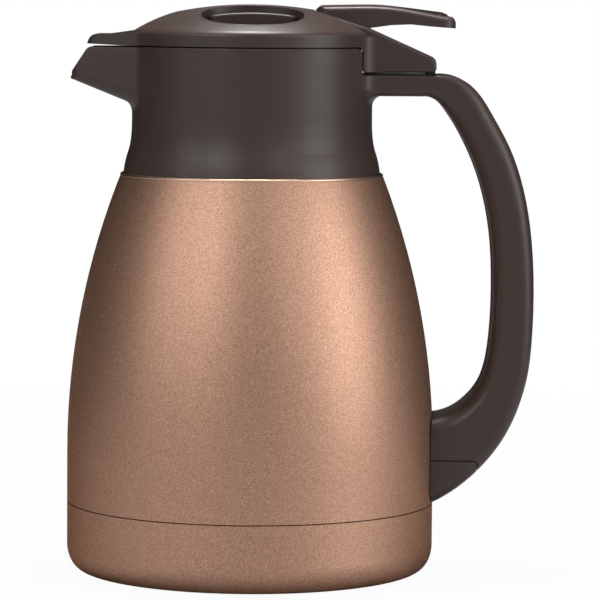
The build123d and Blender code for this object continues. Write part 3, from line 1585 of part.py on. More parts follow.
with BuildPart() as button_spring_left:
    with BuildLine() as coil:
        Helix(
            pitch=button_spring_pitch,
            height=button_spring_end - button_spring_start,
            radius=button_spring_radius,
            center=(well_centre_x, -button_spring_start, button_spring_height),
            direction=(0, -1, 0),
        )
    with BuildSketch(Plane(origin=coil.line @ 0, z_dir=coil.line % 0)):
        Circle(button_spring_wire)
    sweep(is_frenet=True)
button_spring_left.part.label = "button_spring_left"
export_step(button_spring_left.part, "parts/button_spring_left.step")

with BuildPart() as button_spring_right:
    add(mirror(button_spring_left.part, about=Plane.XZ, mode=Mode.PRIVATE))
button_spring_right.part.label = "button_spring_right"
export_step(button_spring_right.part, "parts/button_spring_right.step")
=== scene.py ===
"""Dresses the thermal carafe: lacquered steel body, moulded collar, handle and lid, and works."""
import logging
import math
from dataclasses import dataclass, field
from enum import Enum
from typing import Any, Sequence

import bmesh
import bpy
from mathutils import Matrix, Vector


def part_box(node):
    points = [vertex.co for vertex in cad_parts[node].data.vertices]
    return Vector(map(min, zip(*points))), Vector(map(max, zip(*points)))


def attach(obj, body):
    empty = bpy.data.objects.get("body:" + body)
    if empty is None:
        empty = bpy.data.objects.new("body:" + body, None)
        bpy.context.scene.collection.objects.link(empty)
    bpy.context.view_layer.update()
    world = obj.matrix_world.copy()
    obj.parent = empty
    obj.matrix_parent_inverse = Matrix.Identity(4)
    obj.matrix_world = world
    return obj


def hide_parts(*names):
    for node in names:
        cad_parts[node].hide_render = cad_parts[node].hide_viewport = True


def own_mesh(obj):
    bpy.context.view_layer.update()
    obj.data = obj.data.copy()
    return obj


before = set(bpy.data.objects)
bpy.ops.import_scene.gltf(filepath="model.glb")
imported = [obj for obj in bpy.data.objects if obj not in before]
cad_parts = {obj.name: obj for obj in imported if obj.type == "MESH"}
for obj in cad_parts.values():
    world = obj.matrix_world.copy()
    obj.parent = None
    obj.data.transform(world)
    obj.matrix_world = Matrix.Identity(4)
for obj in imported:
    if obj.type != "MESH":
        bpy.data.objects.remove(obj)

Colour = tuple[float, float, float]
Place = tuple[float, float, float]
Outline = Sequence[tuple[float, float]]
Ring = Sequence[bmesh.types.BMVert]
Inputs = dict[str | int, Any] | Sequence[Any]

MM = 0.001
UP: Place = (0.0, 0.0, 1.0)
DOWN: Place = (0.0, 0.0, -1.0)
ACROSS: Place = (0.0, 1.0, 0.0)
WHITE: Colour = (1.0, 1.0, 1.0)
PATTERN_MIDDLE = 0.5
MOST_CUT = 0.45
COIL_STEPS = 28
MIX_FACTOR, MIX_LOW, MIX_HIGH, MIX_RESULT = 0, 6, 7, 2

log = logging.getLogger("carafe")


class Side(Enum):
    """The two sides of the carafe, each with the sign that Y has there."""

    LEFT = -1.0
    RIGHT = 1.0

    def label(self, piece: str) -> str:
        """The name of this side's copy of a piece."""
        return f"{piece}_{self.name.lower()}"


class Body(Enum):
    """The moving bodies that made pieces ride on."""

    CARAFE = "carafe"
    LID = "lid"


class Slot(Enum):
    """The record's material slots that made pieces belong to."""

    BODY_PAINT = "body_paint"
    DARK_PLASTIC = "dark_plastic"
    BLACK_PLASTIC = "black_plastic"
    SILICONE = "silicone"
    FITTINGS_STEEL = "fittings_steel"


class Signal:
    """One link of a material, with the operators that its arithmetic uses."""

    def __init__(self, graph: "Graph", socket: bpy.types.NodeSocket) -> None:
        """Wrap a socket.

        Args:
            graph: The material's node graph.
            socket: The output socket that carries the value.
        """
        self.graph = graph
        self.socket = socket

    def _math(self, operation: str, left: Any, right: Any) -> "Signal":
        """Add a Math node.

        Args:
            operation: Name of the Math node's operation.
            left: First operand.
            right: Second operand.

        Returns:
            The result as a signal.
        """
        return self.graph.node("ShaderNodeMath", {"operation": operation}, [left, right])

    def __add__(self, other: Any) -> "Signal":
        """Sum with another value."""
        return self._math("ADD", self, other)

    def __radd__(self, other: Any) -> "Signal":
        """Sum with a number on the left."""
        return self._math("ADD", other, self)

    def __sub__(self, other: Any) -> "Signal":
        """Difference with another value."""
        return self._math("SUBTRACT", self, other)

    def __rsub__(self, other: Any) -> "Signal":
        """Difference from a number on the left."""
        return self._math("SUBTRACT", other, self)

    def __mul__(self, other: Any) -> "Signal":
        """Product with another value."""
        return self._math("MULTIPLY", self, other)

    def __rmul__(self, other: Any) -> "Signal":
        """Product with a number on the left."""
        return self._math("MULTIPLY", other, self)

    def __gt__(self, other: Any) -> "Signal":
        """One where the value is over a limit, and zero elsewhere."""
        return self._math("GREATER_THAN", self, other)


class Graph:
    """The node graph of one material or world."""

    def __init__(self, tree: bpy.types.NodeTree) -> None:
        """Start from an empty tree.

        Args:
            tree: The tree that takes the nodes.
        """
        tree.nodes.clear()
        self.tree = tree

    def node(self, kind: str, settings: dict[str, Any] | None = None, inputs: Inputs = (),
             output: str | int = 0) -> Signal:
        """Add one node of any type.

        Args:
            kind: The node's type name.
            settings: Attributes of the node, which are set first.
            inputs: Values or signals of its sockets, by name or number, or in order.
            output: Name or number of the output to return.

        Returns:
            The chosen output, or the first input for a node that has no output.
        """
        made = self.tree.nodes.new(kind)
        for name, value in (settings or {}).items():
            setattr(made, name, value)
        for key, value in inputs.items() if isinstance(inputs, dict) else enumerate(inputs):
            self.feed(made.inputs[key], value)
        if not made.outputs:
            return Signal(self, made.inputs[0])
        return Signal(self, made.outputs[output])

    def feed(self, socket: bpy.types.NodeSocket, value: Any) -> None:
        """Give a socket a link or a constant.

        Args:
            socket: The input socket.
            value: A signal, a number or a tuple.
        """
        if isinstance(value, Signal):
            self.tree.links.new(value.socket, socket)
        elif socket.type == "RGBA":
            socket.default_value = (*value, 1.0)
        else:
            socket.default_value = value

    def blend(self, factor: Any, low: Any, high: Any) -> Signal:
        """Mix two colours.

        Args:
            factor: Zero gives the low colour and one the high colour.
            low: A colour or a signal.
            high: A colour or a signal.

        Returns:
            The mixed colour.
        """
        mixed = {MIX_FACTOR: factor, MIX_LOW: low, MIX_HIGH: high}
        return self.node("ShaderNodeMix", {"data_type": "RGBA"}, mixed, MIX_RESULT)

    def place(self, stretch: Place = (1.0, 1.0, 1.0)) -> Signal:
        """Coordinates in metres on the object, stretched along its axes.

        Args:
            stretch: Scale along X, Y and Z.

        Returns:
            The coordinates.
        """
        where = self.node("ShaderNodeTexCoord", output="Object")
        return self.node("ShaderNodeMapping", {}, {"Vector": where, "Scale": stretch})

    def noise(self, scale: float, detail: float, where: Signal | None = None) -> Signal:
        """A soft noise pattern from 0 to 1.

        Args:
            scale: Cells per metre.
            detail: How many finer layers it has.
            where: Coordinates, or None for the plain ones.

        Returns:
            The pattern's value.
        """
        inputs = {"Vector": where or self.place(), "Scale": scale, "Detail": detail}
        return self.node("ShaderNodeTexNoise", {}, inputs)

    def cells(self, scale: float) -> Signal:
        """A random tone for each small cell, for metal flake.

        Args:
            scale: Cells per metre.

        Returns:
            A value from 0 to 1 that is the same all over a cell.
        """
        inputs = {"Vector": self.place(), "Scale": scale}
        tones = self.node("ShaderNodeTexVoronoi", {}, inputs, "Color")
        return self.node("ShaderNodeSeparateColor", {}, [tones])

    def bump(self, height: Signal, depth_mm: float, strength: float) -> Signal:
        """Turn a height pattern into a surface normal.

        Args:
            height: The pattern.
            depth_mm: How deep the pattern is.
            strength: How much of it shows.

        Returns:
            The normal.
        """
        inputs = {"Height": height, "Distance": depth_mm * MM, "Strength": strength}
        return self.node("ShaderNodeBump", {}, inputs)


def start_material(name: str) -> tuple[bpy.types.Material, Graph]:
    """Make an empty node material.

    Args:
        name: Its name.

    Returns:
        The material and its graph.
    """
    made = bpy.data.materials.new(name)
    made.use_nodes = True
    return made, Graph(made.node_tree)


def finish_surface(graph: Graph, sockets: dict[str, Any]) -> None:
    """Add the surface shader and the output.

    Args:
        graph: The material's graph.
        sockets: Constants and signals for the surface shader.
    """
    shader = graph.node("ShaderNodeBsdfPrincipled", {}, sockets)
    graph.node("ShaderNodeOutputMaterial", {}, {"Surface": shader})


@dataclass(frozen=True)
class Lacquer:
    """Metallic lacquer with fine flake over steel."""

    name: str
    light: Colour
    deep: Colour
    spark: Colour
    edge: Colour = (0.04, 0.0, 0.0)
    metallic: float = 1.0
    roughness: float = 0.5
    roughness_spread: float = 0.12
    coat: float = 0.02
    coat_roughness: float = 0.3
    flake_per_metre: float = 3400.0
    grain_per_metre: float = 2700.0
    drift_per_metre: float = 34.0
    contrast: float = 3.2
    drift_share: float = 0.12
    spark_limit: float = 0.9
    spark_share: float = 0.22
    flake_height: float = 0.6
    depth_mm: float = 0.02
    relief: float = 0.55

    def material(self) -> bpy.types.Material:
        """Build the lacquer.

        Returns:
            The material.
        """
        made, graph = start_material(self.name)
        flake = graph.cells(self.flake_per_metre)
        drift = graph.noise(self.drift_per_metre, detail=3.0)
        grain = graph.noise(self.grain_per_metre, detail=1.0)
        speckle = (grain - PATTERN_MIDDLE) * self.contrast + PATTERN_MIDDLE
        mottle = speckle + (drift - PATTERN_MIDDLE) * self.drift_share
        ground = graph.blend(mottle, self.deep, self.light)
        sparkle = (flake > self.spark_limit) * self.spark_share
        relief = flake * self.flake_height + grain * (1 - self.flake_height)
        finish_surface(graph, {
            "Base Color": graph.blend(sparkle, ground, self.spark),
            "Metallic": self.metallic,
            "Roughness": self.roughness + (flake - PATTERN_MIDDLE) * self.roughness_spread,
            "Coat Weight": self.coat,
            "Coat Roughness": self.coat_roughness,
            "Specular Tint": self.edge,
            "Normal": graph.bump(relief, self.depth_mm, self.relief),
        })
        return made


@dataclass(frozen=True)
class Moulded:
    """Injection-moulded plastic with a fine spark-eroded texture."""

    name: str
    tone: Colour
    worn: Colour
    roughness: float = 0.42
    grain_per_metre: float = 3200.0
    grain_depth_mm: float = 0.012
    specular: float = 0.5
    flow_per_metre: float = 22.0
    rub_per_metre: float = 160.0
    flow_share: float = 0.6
    grain_share: float = 0.25
    rub_spread: float = 0.10
    flow_spread: float = 0.06
    relief: float = 0.6

    def material(self) -> bpy.types.Material:
        """Build the plastic.

        Returns:
            The material.
        """
        made, graph = start_material(self.name)
        grain = graph.noise(self.grain_per_metre, detail=2.0)
        flow = graph.noise(self.flow_per_metre, detail=3.0)
        rubbed = graph.noise(self.rub_per_metre, detail=4.0)
        paler = flow * self.flow_share + grain * self.grain_share
        rougher = (rubbed - PATTERN_MIDDLE) * self.rub_spread
        finish_surface(graph, {
            "Base Color": graph.blend(paler, self.tone, self.worn),
            "Roughness": self.roughness + rougher + (flow - PATTERN_MIDDLE) * self.flow_spread,
            "Specular IOR Level": self.specular,
            "Normal": graph.bump(grain, self.grain_depth_mm, self.relief),
        })
        return made


@dataclass(frozen=True)
class Brushed:
    """Bare metal with fine brushing round or along the piece."""

    name: str
    tone: Colour
    dull: Colour
    stretch: Place = (40.0, 40.0, 3000.0)
    roughness: float = 0.28
    cloud_per_metre: float = 45.0
    pattern_share: float = 0.5
    line_spread: float = 0.16
    line_depth_mm: float = 0.01
    relief: float = 0.35

    def material(self) -> bpy.types.Material:
        """Build the metal.

        Returns:
            The material.
        """
        made, graph = start_material(self.name)
        lines = graph.noise(1.0, detail=3.0, where=graph.place(self.stretch))
        cloud = graph.noise(self.cloud_per_metre, detail=3.0)
        brighter = lines * self.pattern_share + cloud * self.pattern_share
        finish_surface(graph, {
            "Base Color": graph.blend(brighter, self.dull, self.tone),
            "Metallic": 1.0,
            "Roughness": self.roughness + (lines - PATTERN_MIDDLE) * self.line_spread,
            "Normal": graph.bump(lines, self.line_depth_mm, self.relief),
        })
        return made


@dataclass(frozen=True)
class Silicone:
    """Soft sealing rubber with a faint bloom."""

    name: str
    tone: Colour
    bloom: Colour
    roughness: float = 0.55
    dust_per_metre: float = 260.0
    dust_share: float = 0.5
    dust_spread: float = 0.2
    pores_per_metre: float = 1500.0
    pore_depth_mm: float = 0.015
    relief: float = 0.5

    def material(self) -> bpy.types.Material:
        """Build the silicone.

        Returns:
            The material.
        """
        made, graph = start_material(self.name)
        dust = graph.noise(self.dust_per_metre, detail=4.0)
        pores = graph.noise(self.pores_per_metre, detail=2.0)
        finish_surface(graph, {
            "Base Color": graph.blend(dust * self.dust_share, self.tone, self.bloom),
            "Roughness": self.roughness + (dust - PATTERN_MIDDLE) * self.dust_spread,
            "Normal": graph.bump(pores, self.pore_depth_mm, self.relief),
        })
        return made


Finish = Lacquer | Moulded | Brushed | Silicone

EVEN_WIRE: Place = (900.0, 900.0, 900.0)
CREASES: Place = (120.0, 120.0, 120.0)
FLAKE: Colour = (0.92, 0.66, 0.50)

COPPER = Lacquer("copper_lacquer", light=(0.66, 0.40, 0.285), deep=(0.40, 0.225, 0.15), spark=FLAKE)
# Glossier lacquer for the rolled lip under the collar. The gloss is real; its paler colour than the
# body's lacquer is a painted highlight along the lip.
ROLLED_HIGHLIGHT = Lacquer("rolled_edge_highlight_lacquer", light=(0.86, 0.60, 0.46), deep=(0.70, 0.46, 0.34),
                 spark=FLAKE, roughness=0.34, coat=0.3, contrast=0.5)
# Painted shade: a near-black lacquer on the steel strip that shows in the base seam. It stands in
# for the shade in the groove.
SEAM_SHADE = Lacquer("painted_seam_shade_lacquer", light=(0.09, 0.034, 0.018), deep=(0.045, 0.017, 0.009),
                 spark=(0.12, 0.05, 0.03), roughness=0.6)
BROWN = Moulded("brown_moulded", tone=(0.044, 0.0275, 0.0225), worn=(0.055, 0.036, 0.030),
                specular=0.47)
PAD = Moulded("soft_touch", tone=(0.034, 0.021, 0.017), worn=(0.044, 0.028, 0.023), roughness=0.6,
              grain_per_metre=2400.0, grain_depth_mm=0.03, specular=0.36)
# Glossy brown, paler than the moulded brown, for the beads on the collar's top edge and round the
# finger wells. The paler tone is a painted highlight on those edges.
RIM_HIGHLIGHT = Moulded("brown_rim_highlight", tone=(0.060, 0.040, 0.034), worn=(0.075, 0.051, 0.044), roughness=0.3,
              grain_depth_mm=0.006)
BLACK = Moulded("black_moulded", tone=(0.018, 0.017, 0.017), worn=(0.030, 0.028, 0.028),
                roughness=0.5)
STEEL = Brushed("brushed_steel", tone=(0.62, 0.61, 0.59), dull=(0.50, 0.49, 0.48))
FITTINGS = Brushed("bright_fittings", tone=(0.66, 0.66, 0.66), dull=(0.50, 0.50, 0.50),
                   stretch=EVEN_WIRE, roughness=0.22)
PHOSPHATED = Brushed("phosphated_wire", tone=(0.10, 0.10, 0.11), dull=(0.05, 0.05, 0.055),
                     stretch=EVEN_WIRE, roughness=0.4)
FOIL = Brushed("crinkled_foil", tone=(0.86, 0.86, 0.86), dull=(0.72, 0.72, 0.72), stretch=CREASES,
               roughness=0.2)
SEAL = Silicone("seal_silicone", tone=(0.42, 0.40, 0.38), bloom=(0.55, 0.53, 0.51))


class Wardrobe:
    """Makes each finish once and puts it on pieces."""

    def __init__(self) -> None:
        """Start with no finish made."""
        self.made: dict[str, bpy.types.Material] = {}

    def get(self, finish: Finish) -> bpy.types.Material:
        """Fetch the material of a finish, built at its first use.

        Args:
            finish: The finish.

        Returns:
            Its material.
        """
        if finish.name not in self.made:
            self.made[finish.name] = finish.material()
        return self.made[finish.name]

    def dress(self, piece: bpy.types.Object, finish: Finish) -> None:
        """Put a finish on a piece.

        Args:
            piece: A mesh object.
            finish: What it is made of.
        """
        material = self.get(finish)
        if not piece.material_slots:
            piece.data.materials.append(material)
        for slot in piece.material_slots:
            slot.material = material


def link_mesh(name: str, build: bmesh.types.BMesh, body: Body) -> bpy.types.Object:
    """Turn a finished bmesh into a smooth-shaded piece that rides on a body.

    Args:
        name: The piece's name.
        build: Its geometry, which is freed.
        body: The body that carries it.

    Returns:
        The linked object.
    """
    bmesh.ops.recalc_face_normals(build, faces=build.faces)
    for face in build.faces:
        face.smooth = True
    mesh = bpy.data.meshes.new(name)
    build.to_mesh(mesh)
    build.free()
    made = bpy.data.objects.new(name, mesh)
    bpy.context.scene.collection.objects.link(made)
    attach(made, body.value)
    return made


def join_rings(build: bmesh.types.BMesh, here: Ring, following: Ring) -> None:
    """Join two closed rings of corners with a band of faces.

    Args:
        build: Takes the faces.
        here: Corners of the first ring.
        following: Corners of the next ring, in the same order.
    """
    for number in range(len(here)):
        beyond = (number + 1) % len(here)
        build.faces.new((here[number], here[beyond], following[beyond], following[number]))


def turn_outline(build: bmesh.types.BMesh, outline: Outline, steps: int) -> None:
    """Turn a closed outline once about the carafe's axis.

    Args:
        build: Takes the faces.
        outline: Radius and height in millimetres, in order round the section.
        steps: How many places there are round the axis.
    """
    rings = []
    for step in range(steps):
        angle = math.tau * step / steps
        x, y = math.cos(angle), math.sin(angle)
        rings.append([build.verts.new((r * MM * x, r * MM * y, z * MM)) for r, z in outline])
    for step, ring in enumerate(rings):
        join_rings(build, ring, rings[(step + 1) % steps])


def round_section(radius: float, height: float, thickness: float, sides: int = 12) -> Outline:
    """A small round section for a bead.

    Args:
        radius: How far its centre is from the axis.
        height: Height of its centre.
        thickness: The bead's own radius.
        sides: How many corners it has.

    Returns:
        The section's outline.
    """
    turns = [math.tau * side / sides for side in range(sides)]
    return [(radius + thickness * math.cos(t), height + thickness * math.sin(t)) for t in turns]


def round_corners(outline: Outline, reach: float, steps: int = 4) -> Outline:
    """Cut each corner of an outline back to a small arc.

    Args:
        outline: The sharp outline.
        reach: How far the arc starts before its corner, at most.
        steps: Points along each arc.

    Returns:
        The softened outline.
    """
    soft = []
    for number, sharp in enumerate(outline):
        corner = Vector(sharp)
        before = Vector(outline[number - 1]) - corner
        after = Vector(outline[(number + 1) % len(outline)]) - corner
        cut = min(reach, before.length * MOST_CUT, after.length * MOST_CUT)
        start = corner + before.normalized() * cut
        end = corner + after.normalized() * cut
        for step in range(steps + 1):
            share = step / steps
            point = start.lerp(corner, share).lerp(corner.lerp(end, share), share)
            soft.append((point.x, point.y))
    return soft


def drop_onto(node: str, x: float, y: float, start: float) -> tuple[Vector, Vector]:
    """Find where a plumb line meets a CAD node's surface.

    Args:
        node: The node's name.
        x: Place along X in millimetres.
        y: Place along Y in millimetres.
        start: Height to drop from in millimetres.

    Returns:
        The point in metres and the surface's normal there.
    """
    hit, point, normal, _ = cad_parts[node].ray_cast(Vector((x, y, start)) * MM, Vector(DOWN))
    if not hit:
        raise ValueError(f"nothing of {node} lies under {x}, {y}")
    return point, normal


def lay_bead(build: bmesh.types.BMesh, points: Sequence[Vector], thickness: float, closed: bool,
             axis: Place = UP, sides: int = 10) -> None:
    """Lay a thin round bead or wire along a line of points.

    Args:
        build: Takes the faces.
        points: The bead's centre line in metres.
        thickness: The bead's radius in millimetres.
        closed: Whether the line runs back to its start.
        axis: The direction that the line runs round.
        sides: Corners of the bead's section.
    """
    turns = [math.tau * side / sides for side in range(sides)]
    rings = []
    for number, point in enumerate(points):
        before = points[number - 1] if closed or number else point
        after = points[(number + 1) % len(points)] if closed or number < len(points) - 1 else point
        along = (after - before).normalized()
        out = along.cross(Vector(axis)).normalized()
        up = out.cross(along)
        spokes = [(out * math.cos(t) + up * math.sin(t)) * thickness * MM for t in turns]
        rings.append([build.verts.new(point + spoke) for spoke in spokes])
    for here, following in zip(rings, rings[1:]):
        join_rings(build, here, following)
    if closed:
        join_rings(build, rings[-1], rings[0])
    else:
        build.faces.new(rings[0])
        build.faces.new(rings[-1])


def coil_line(start: Vector, end: Vector, radius: float, wire: float, turns: float) -> list[Vector]:
    """The centre line of a compression spring with a closed coil at each end.

    Args:
        start: Middle of the first coil in metres.
        end: Middle of the last coil in metres.
        radius: Radius of the coils in millimetres.
        wire: Radius of the wire in millimetres.
        turns: Open coils between the closed ones.

    Returns:
        The line's points in metres.
    """
    axis = (end - start).normalized()
    side = axis.orthogonal().normalized()
    other = axis.cross(side)
    length = (end - start).length
    closed = 2 * wire * MM
    total = turns + 2
    steps = round(total * COIL_STEPS)
    line = []
    for step in range(steps + 1):
        turn = total * step / steps
        if turn < 1:
            run = closed * turn
        elif turn > total - 1:
            run = length - closed * (total - turn)
        else:
            run = closed + (length - 2 * closed) * (turn - 1) / turns
        spoke = side * math.cos(math.tau * turn) + other * math.sin(math.tau * turn)
        line.append(start + axis * run + spoke * radius * MM)
    return line


@dataclass(frozen=True)
class Spring:
    """A round-wire compression spring and what it belongs to, in millimetres."""

    name: str
    node: str
    joint: str
    axis: Place
    fixed: float
    travel: float
    radius: float
    wire: float
    turns: float
    finish: Finish


@dataclass
class SubAssembly:
    """Pieces that are made and carried together."""

    wardrobe: Wardrobe
    title: str = "sub-assembly"
    finishes: dict[str, Finish] = field(default_factory=dict)
    reports: list[str] = field(default_factory=list)

    def dress_nodes(self) -> None:
        """Give each CAD node of this sub-assembly its finish."""
        for node, finish in self.finishes.items():
            self.wardrobe.dress(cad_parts[node], finish)
            self.reports.append(f"{node} dressed in {finish.name}")

    def add(self, name: str, build: bmesh.types.BMesh, body: Body, slot: Slot,
            finish: Finish) -> bpy.types.Object:
        """Link, dress and note one made piece.

        Args:
            name: The piece's name.
            build: Its geometry.
            body: The body that carries it.
            slot: Its material slot in the record; not used.
            finish: What it is made of.

        Returns:
            The piece.
        """
        made = link_mesh(name, build, body)
        self.wardrobe.dress(made, finish)
        self.reports.append(f"{name} made with {len(made.data.polygons)} faces")
        return made

    def add_turned(self, name: str, outline: Outline, steps: int, slot: Slot, finish: Finish,
                   body: Body = Body.CARAFE) -> bpy.types.Object:
        """Make one piece by turning an outline about the carafe's axis.

        Args:
            name: The piece's name.
            outline: Its closed section.
            steps: How many places there are round the axis.
            slot: Its material slot in the record.
            finish: What it is made of.
            body: The body that carries it.

        Returns:
            The piece.
        """
        build = bmesh.new()
        turn_outline(build, outline, steps)
        return self.add(name, build, body, slot, finish)

    def add_spring(self, spring: Spring) -> None:
        """Wind a spring in a CAD spring's place and give it its own mesh; how much of its length it
        keeps at full travel is worked out but not used.

        Args:
            spring: Its sizes and the node and joint that it belongs to.
        """
        low, high = (Vector(corner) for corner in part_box(spring.node))
        middle = (low + high) / 2
        axis = Vector(spring.axis)
        inset = axis * spring.wire * MM
        reach = axis * (high - low).dot(axis) / 2
        start, end = middle - reach + inset, middle + reach - inset
        line = coil_line(start, end, spring.radius, spring.wire, spring.turns)
        build = bmesh.new()
        lay_bead(build, line, spring.wire, False, spring.axis)
        made = self.add(spring.name, build, Body.LID, Slot.FITTINGS_STEEL, spring.finish)
        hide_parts(spring.node)
        fixed = axis * spring.fixed * MM
        moving = start - inset if (end - fixed).length < (start - fixed).length else end + inset
        keep = 1 - spring.travel * MM / abs((moving - fixed).dot(axis))
        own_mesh(made)

    def build(self) -> None:
        """Dress the nodes and make the pieces."""
        self.dress_nodes()


@dataclass
class SteelBody(SubAssembly):
    """The lacquered shell and base, the vessel inside and the foot."""

    title: str = "steel body"
    finishes: dict[str, Finish] = field(default_factory=lambda: {
        "outer_shell": COPPER, "base_shell": COPPER, "inner_vessel": STEEL, "vessel_bottom": STEEL,
        # vacuum_base shows only in the base seam and wears the painted seam shade.
        "heat_shield": FOIL, "vacuum_base": SEAM_SHADE, "vacuum_seal": FITTINGS, "getter": FITTINGS,
    })
    lip_radius: float = 45.85
    lip_height: float = 140.35
    lip_bead: float = 0.63
    seam_radius: float = 64.78
    seam_middle: float = 24.6
    seam_spread: float = 0.33
    seam_bead: float = 0.2
    foot_radius: float = 54.7
    foot_height: float = 3.35
    foot_edge: float = 0.5
    foot_softness: float = 0.3
    tread_radii: tuple[float, ...] = (52.0, 49.4, 46.8, 44.2)
    tread_width: float = 1.3
    tread_floor_share: float = 0.6
    tread_depth: float = 0.5
    dish_radius: float = 42.0
    dish_rise: float = 1.1
    boss_root_radius: float = 6.0
    boss_radius: float = 5.4
    vent_radius: float = 0.4
    steps: int = 256

    def rolled_edges(self) -> None:
        """Make the rolled lip under the collar and the two rolled edges of the base seam."""
        upper, lower = self.seam_middle + self.seam_spread, self.seam_middle - self.seam_spread
        for name, radius, height, bead, finish in (
            # The lip wears the glossier lacquer, whose paler colour is a painted highlight.
            ("body_lip_roll", self.lip_radius, self.lip_height, self.lip_bead, ROLLED_HIGHLIGHT),
            ("seam_roll_upper", self.seam_radius, upper, self.seam_bead, COPPER),
            ("seam_roll_lower", self.seam_radius, lower, self.seam_bead, COPPER),
        ):
            section = round_section(radius, height, bead)
            self.add_turned(name, section, self.steps, Slot.BODY_PAINT, finish)

    def foot(self) -> None:
        """Make the rubber foot with its treads and dished middle."""
        half, depth = self.tread_width / 2, self.tread_depth
        floor = half * self.tread_floor_share
        under = [(self.foot_radius, self.foot_edge), (self.foot_radius - self.foot_edge, 0.0)]
        for radius in self.tread_radii:
            under += [
                (radius + half, 0.0), (radius + floor, depth),
                (radius - floor, depth), (radius - half, 0.0),
            ]
        under += [
            (self.dish_radius, 0.0), (self.dish_radius - self.dish_rise, self.dish_rise),
            (self.boss_root_radius, self.dish_rise), (self.boss_radius, depth),
            (self.vent_radius, depth), (self.vent_radius, self.foot_height),
            (self.foot_radius, self.foot_height),
        ]
        soft = round_corners(under, self.foot_softness)
        made = self.add_turned("foot_moulding", soft, self.steps, Slot.BLACK_PLASTIC, BLACK)
        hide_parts("foot_pad")

    def build(self) -> None:
        """Dress the nodes and make the pieces."""
        self.dress_nodes()
        self.rolled_edges()
        self.foot()


@dataclass
class CollarAndHandle(SubAssembly):
    """The collar with its spout, the handle and its foot, and the rings inside."""

    title: str = "collar and handle"
    finishes: dict[str, Finish] = field(default_factory=lambda: {
        "collar_handle": BROWN, "handle_foot": BROWN, "grip_strip": PAD, "handle_bracket": FITTINGS,
        "handle_screw": FITTINGS, "retaining_ring": BLACK, "collar_gasket": SEAL,
    })
    rim_radius: float = 42.05
    rim_height: float = 185.02
    rim_bead: float = 0.31
    rim_arc: tuple[float, float] = (28.5, 151.5)
    rim_steps: int = 120

    def rim_beads(self) -> None:
        """Lay a polished bead on each side of the collar's top edge, from the tail to the spout;
        the bead is paler than the collar, a painted highlight on that edge.
        """
        low, high = self.rim_arc
        for side in Side:
            points = []
            for step in range(self.rim_steps + 1):
                angle = math.radians(low + (high - low) * step / self.rim_steps)
                x = self.rim_radius * math.cos(angle)
                y = side.value * self.rim_radius * math.sin(angle)
                points.append(Vector((x, y, self.rim_height)) * MM)
            build = bmesh.new()
            lay_bead(build, points, self.rim_bead, False)
            self.add(side.label("collar_rim"), build, Body.CARAFE, Slot.DARK_PLASTIC, RIM_HIGHLIGHT)

    def build(self) -> None:
        """Dress the nodes and make the pieces."""
        self.dress_nodes()
        self.rim_beads()


@dataclass
class LidSet(SubAssembly):
    """The lid with its wells, tail and hinge, the lever and the release bars."""

    title: str = "lid"
    finishes: dict[str, Finish] = field(default_factory=lambda: {
        "lid_cover": BROWN, "lid_base": BLACK, "lid_screws": FITTINGS, "hinge_pin": FITTINGS,
        "lever_pin": FITTINGS, "pour_lever": BROWN, "lever_pad": BROWN,
        "release_button_left": BROWN, "release_button_right": BROWN,
    })
    spring_stop: float = 10.3
    spring_travel: float = 1.6
    spring_radius: float = 2.0
    spring_wire: float = 0.35
    spring_turns: float = 4.0
    well_centre: tuple[float, float] = (0.4, 23.5)
    well_half: tuple[float, float] = (18.15, 14.15)
    rim_bead: float = 0.3
    rim_sink: float = 0.45
    rim_steps: int = 160
    drop_from: float = 215.0
    shadow_strip_front: float = 39.2
    shadow_strip_rear: float = 60.6
    shadow_strip_side: float = 12.8
    shadow_strip_half_width: float = 0.75
    shadow_strip_low: float = 176.32
    shadow_strip_high: float = 177.15
    shadow_strip_softness: float = 0.25

    def well_rims(self) -> None:
        """Lay a fine rounded rim round each finger well, following the dome; the rim is paler than
        the lid, a painted highlight on the well's edge.
        """
        (middle_x, middle_y), (half_x, half_y) = self.well_centre, self.well_half
        for side in Side:
            points = []
            for step in range(self.rim_steps):
                angle = math.tau * step / self.rim_steps
                x = middle_x + half_x * math.cos(angle)
                y = side.value * (middle_y + half_y * math.sin(angle))
                point, normal = drop_onto("lid_cover", x, y, self.drop_from)
                points.append(point - normal * self.rim_bead * self.rim_sink * MM)
            build = bmesh.new()
            lay_bead(build, points, self.rim_bead, True)
            self.add(side.label("well_rim"), build, Body.LID, Slot.DARK_PLASTIC, RIM_HIGHLIGHT)

    def tail_shadow_strips(self) -> None:
        """Make the two soft strips under the tail, in the gap above the handle arm, that it rests
        on when the lid is shut; their black is painted shade for that gap.
        """
        for side in Side:
            middle, half = side.value * self.shadow_strip_side, self.shadow_strip_half_width
            section = round_corners([
                (middle - half, self.shadow_strip_low), (middle + half, self.shadow_strip_low),
                (middle + half, self.shadow_strip_high), (middle - half, self.shadow_strip_high),
            ], self.shadow_strip_softness)
            build = bmesh.new()
            front, rear = (
                [build.verts.new((x * MM, y * MM, z * MM)) for y, z in section]
                for x in (self.shadow_strip_front, self.shadow_strip_rear)
            )
            join_rings(build, front, rear)
            build.faces.new(front)
            build.faces.new(rear)
            self.add(side.label("tail_shadow_strip"), build, Body.LID, Slot.BLACK_PLASTIC, BLACK)

    def release_springs(self) -> None:
        """Wind the spring behind each release bar."""
        for side in Side:
            self.add_spring(Spring(
                side.label("release_coil"), side.label("button_spring"), side.label("release"),
                ACROSS, fixed=side.value * self.spring_stop, travel=self.spring_travel,
                radius=self.spring_radius, wire=self.spring_wire, turns=self.spring_turns,
                finish=PHOSPHATED,
            ))

    def build(self) -> None:
        """Dress the nodes and make the pieces."""
        self.dress_nodes()
        self.well_rims()
        self.tail_shadow_strips()
        self.release_springs()


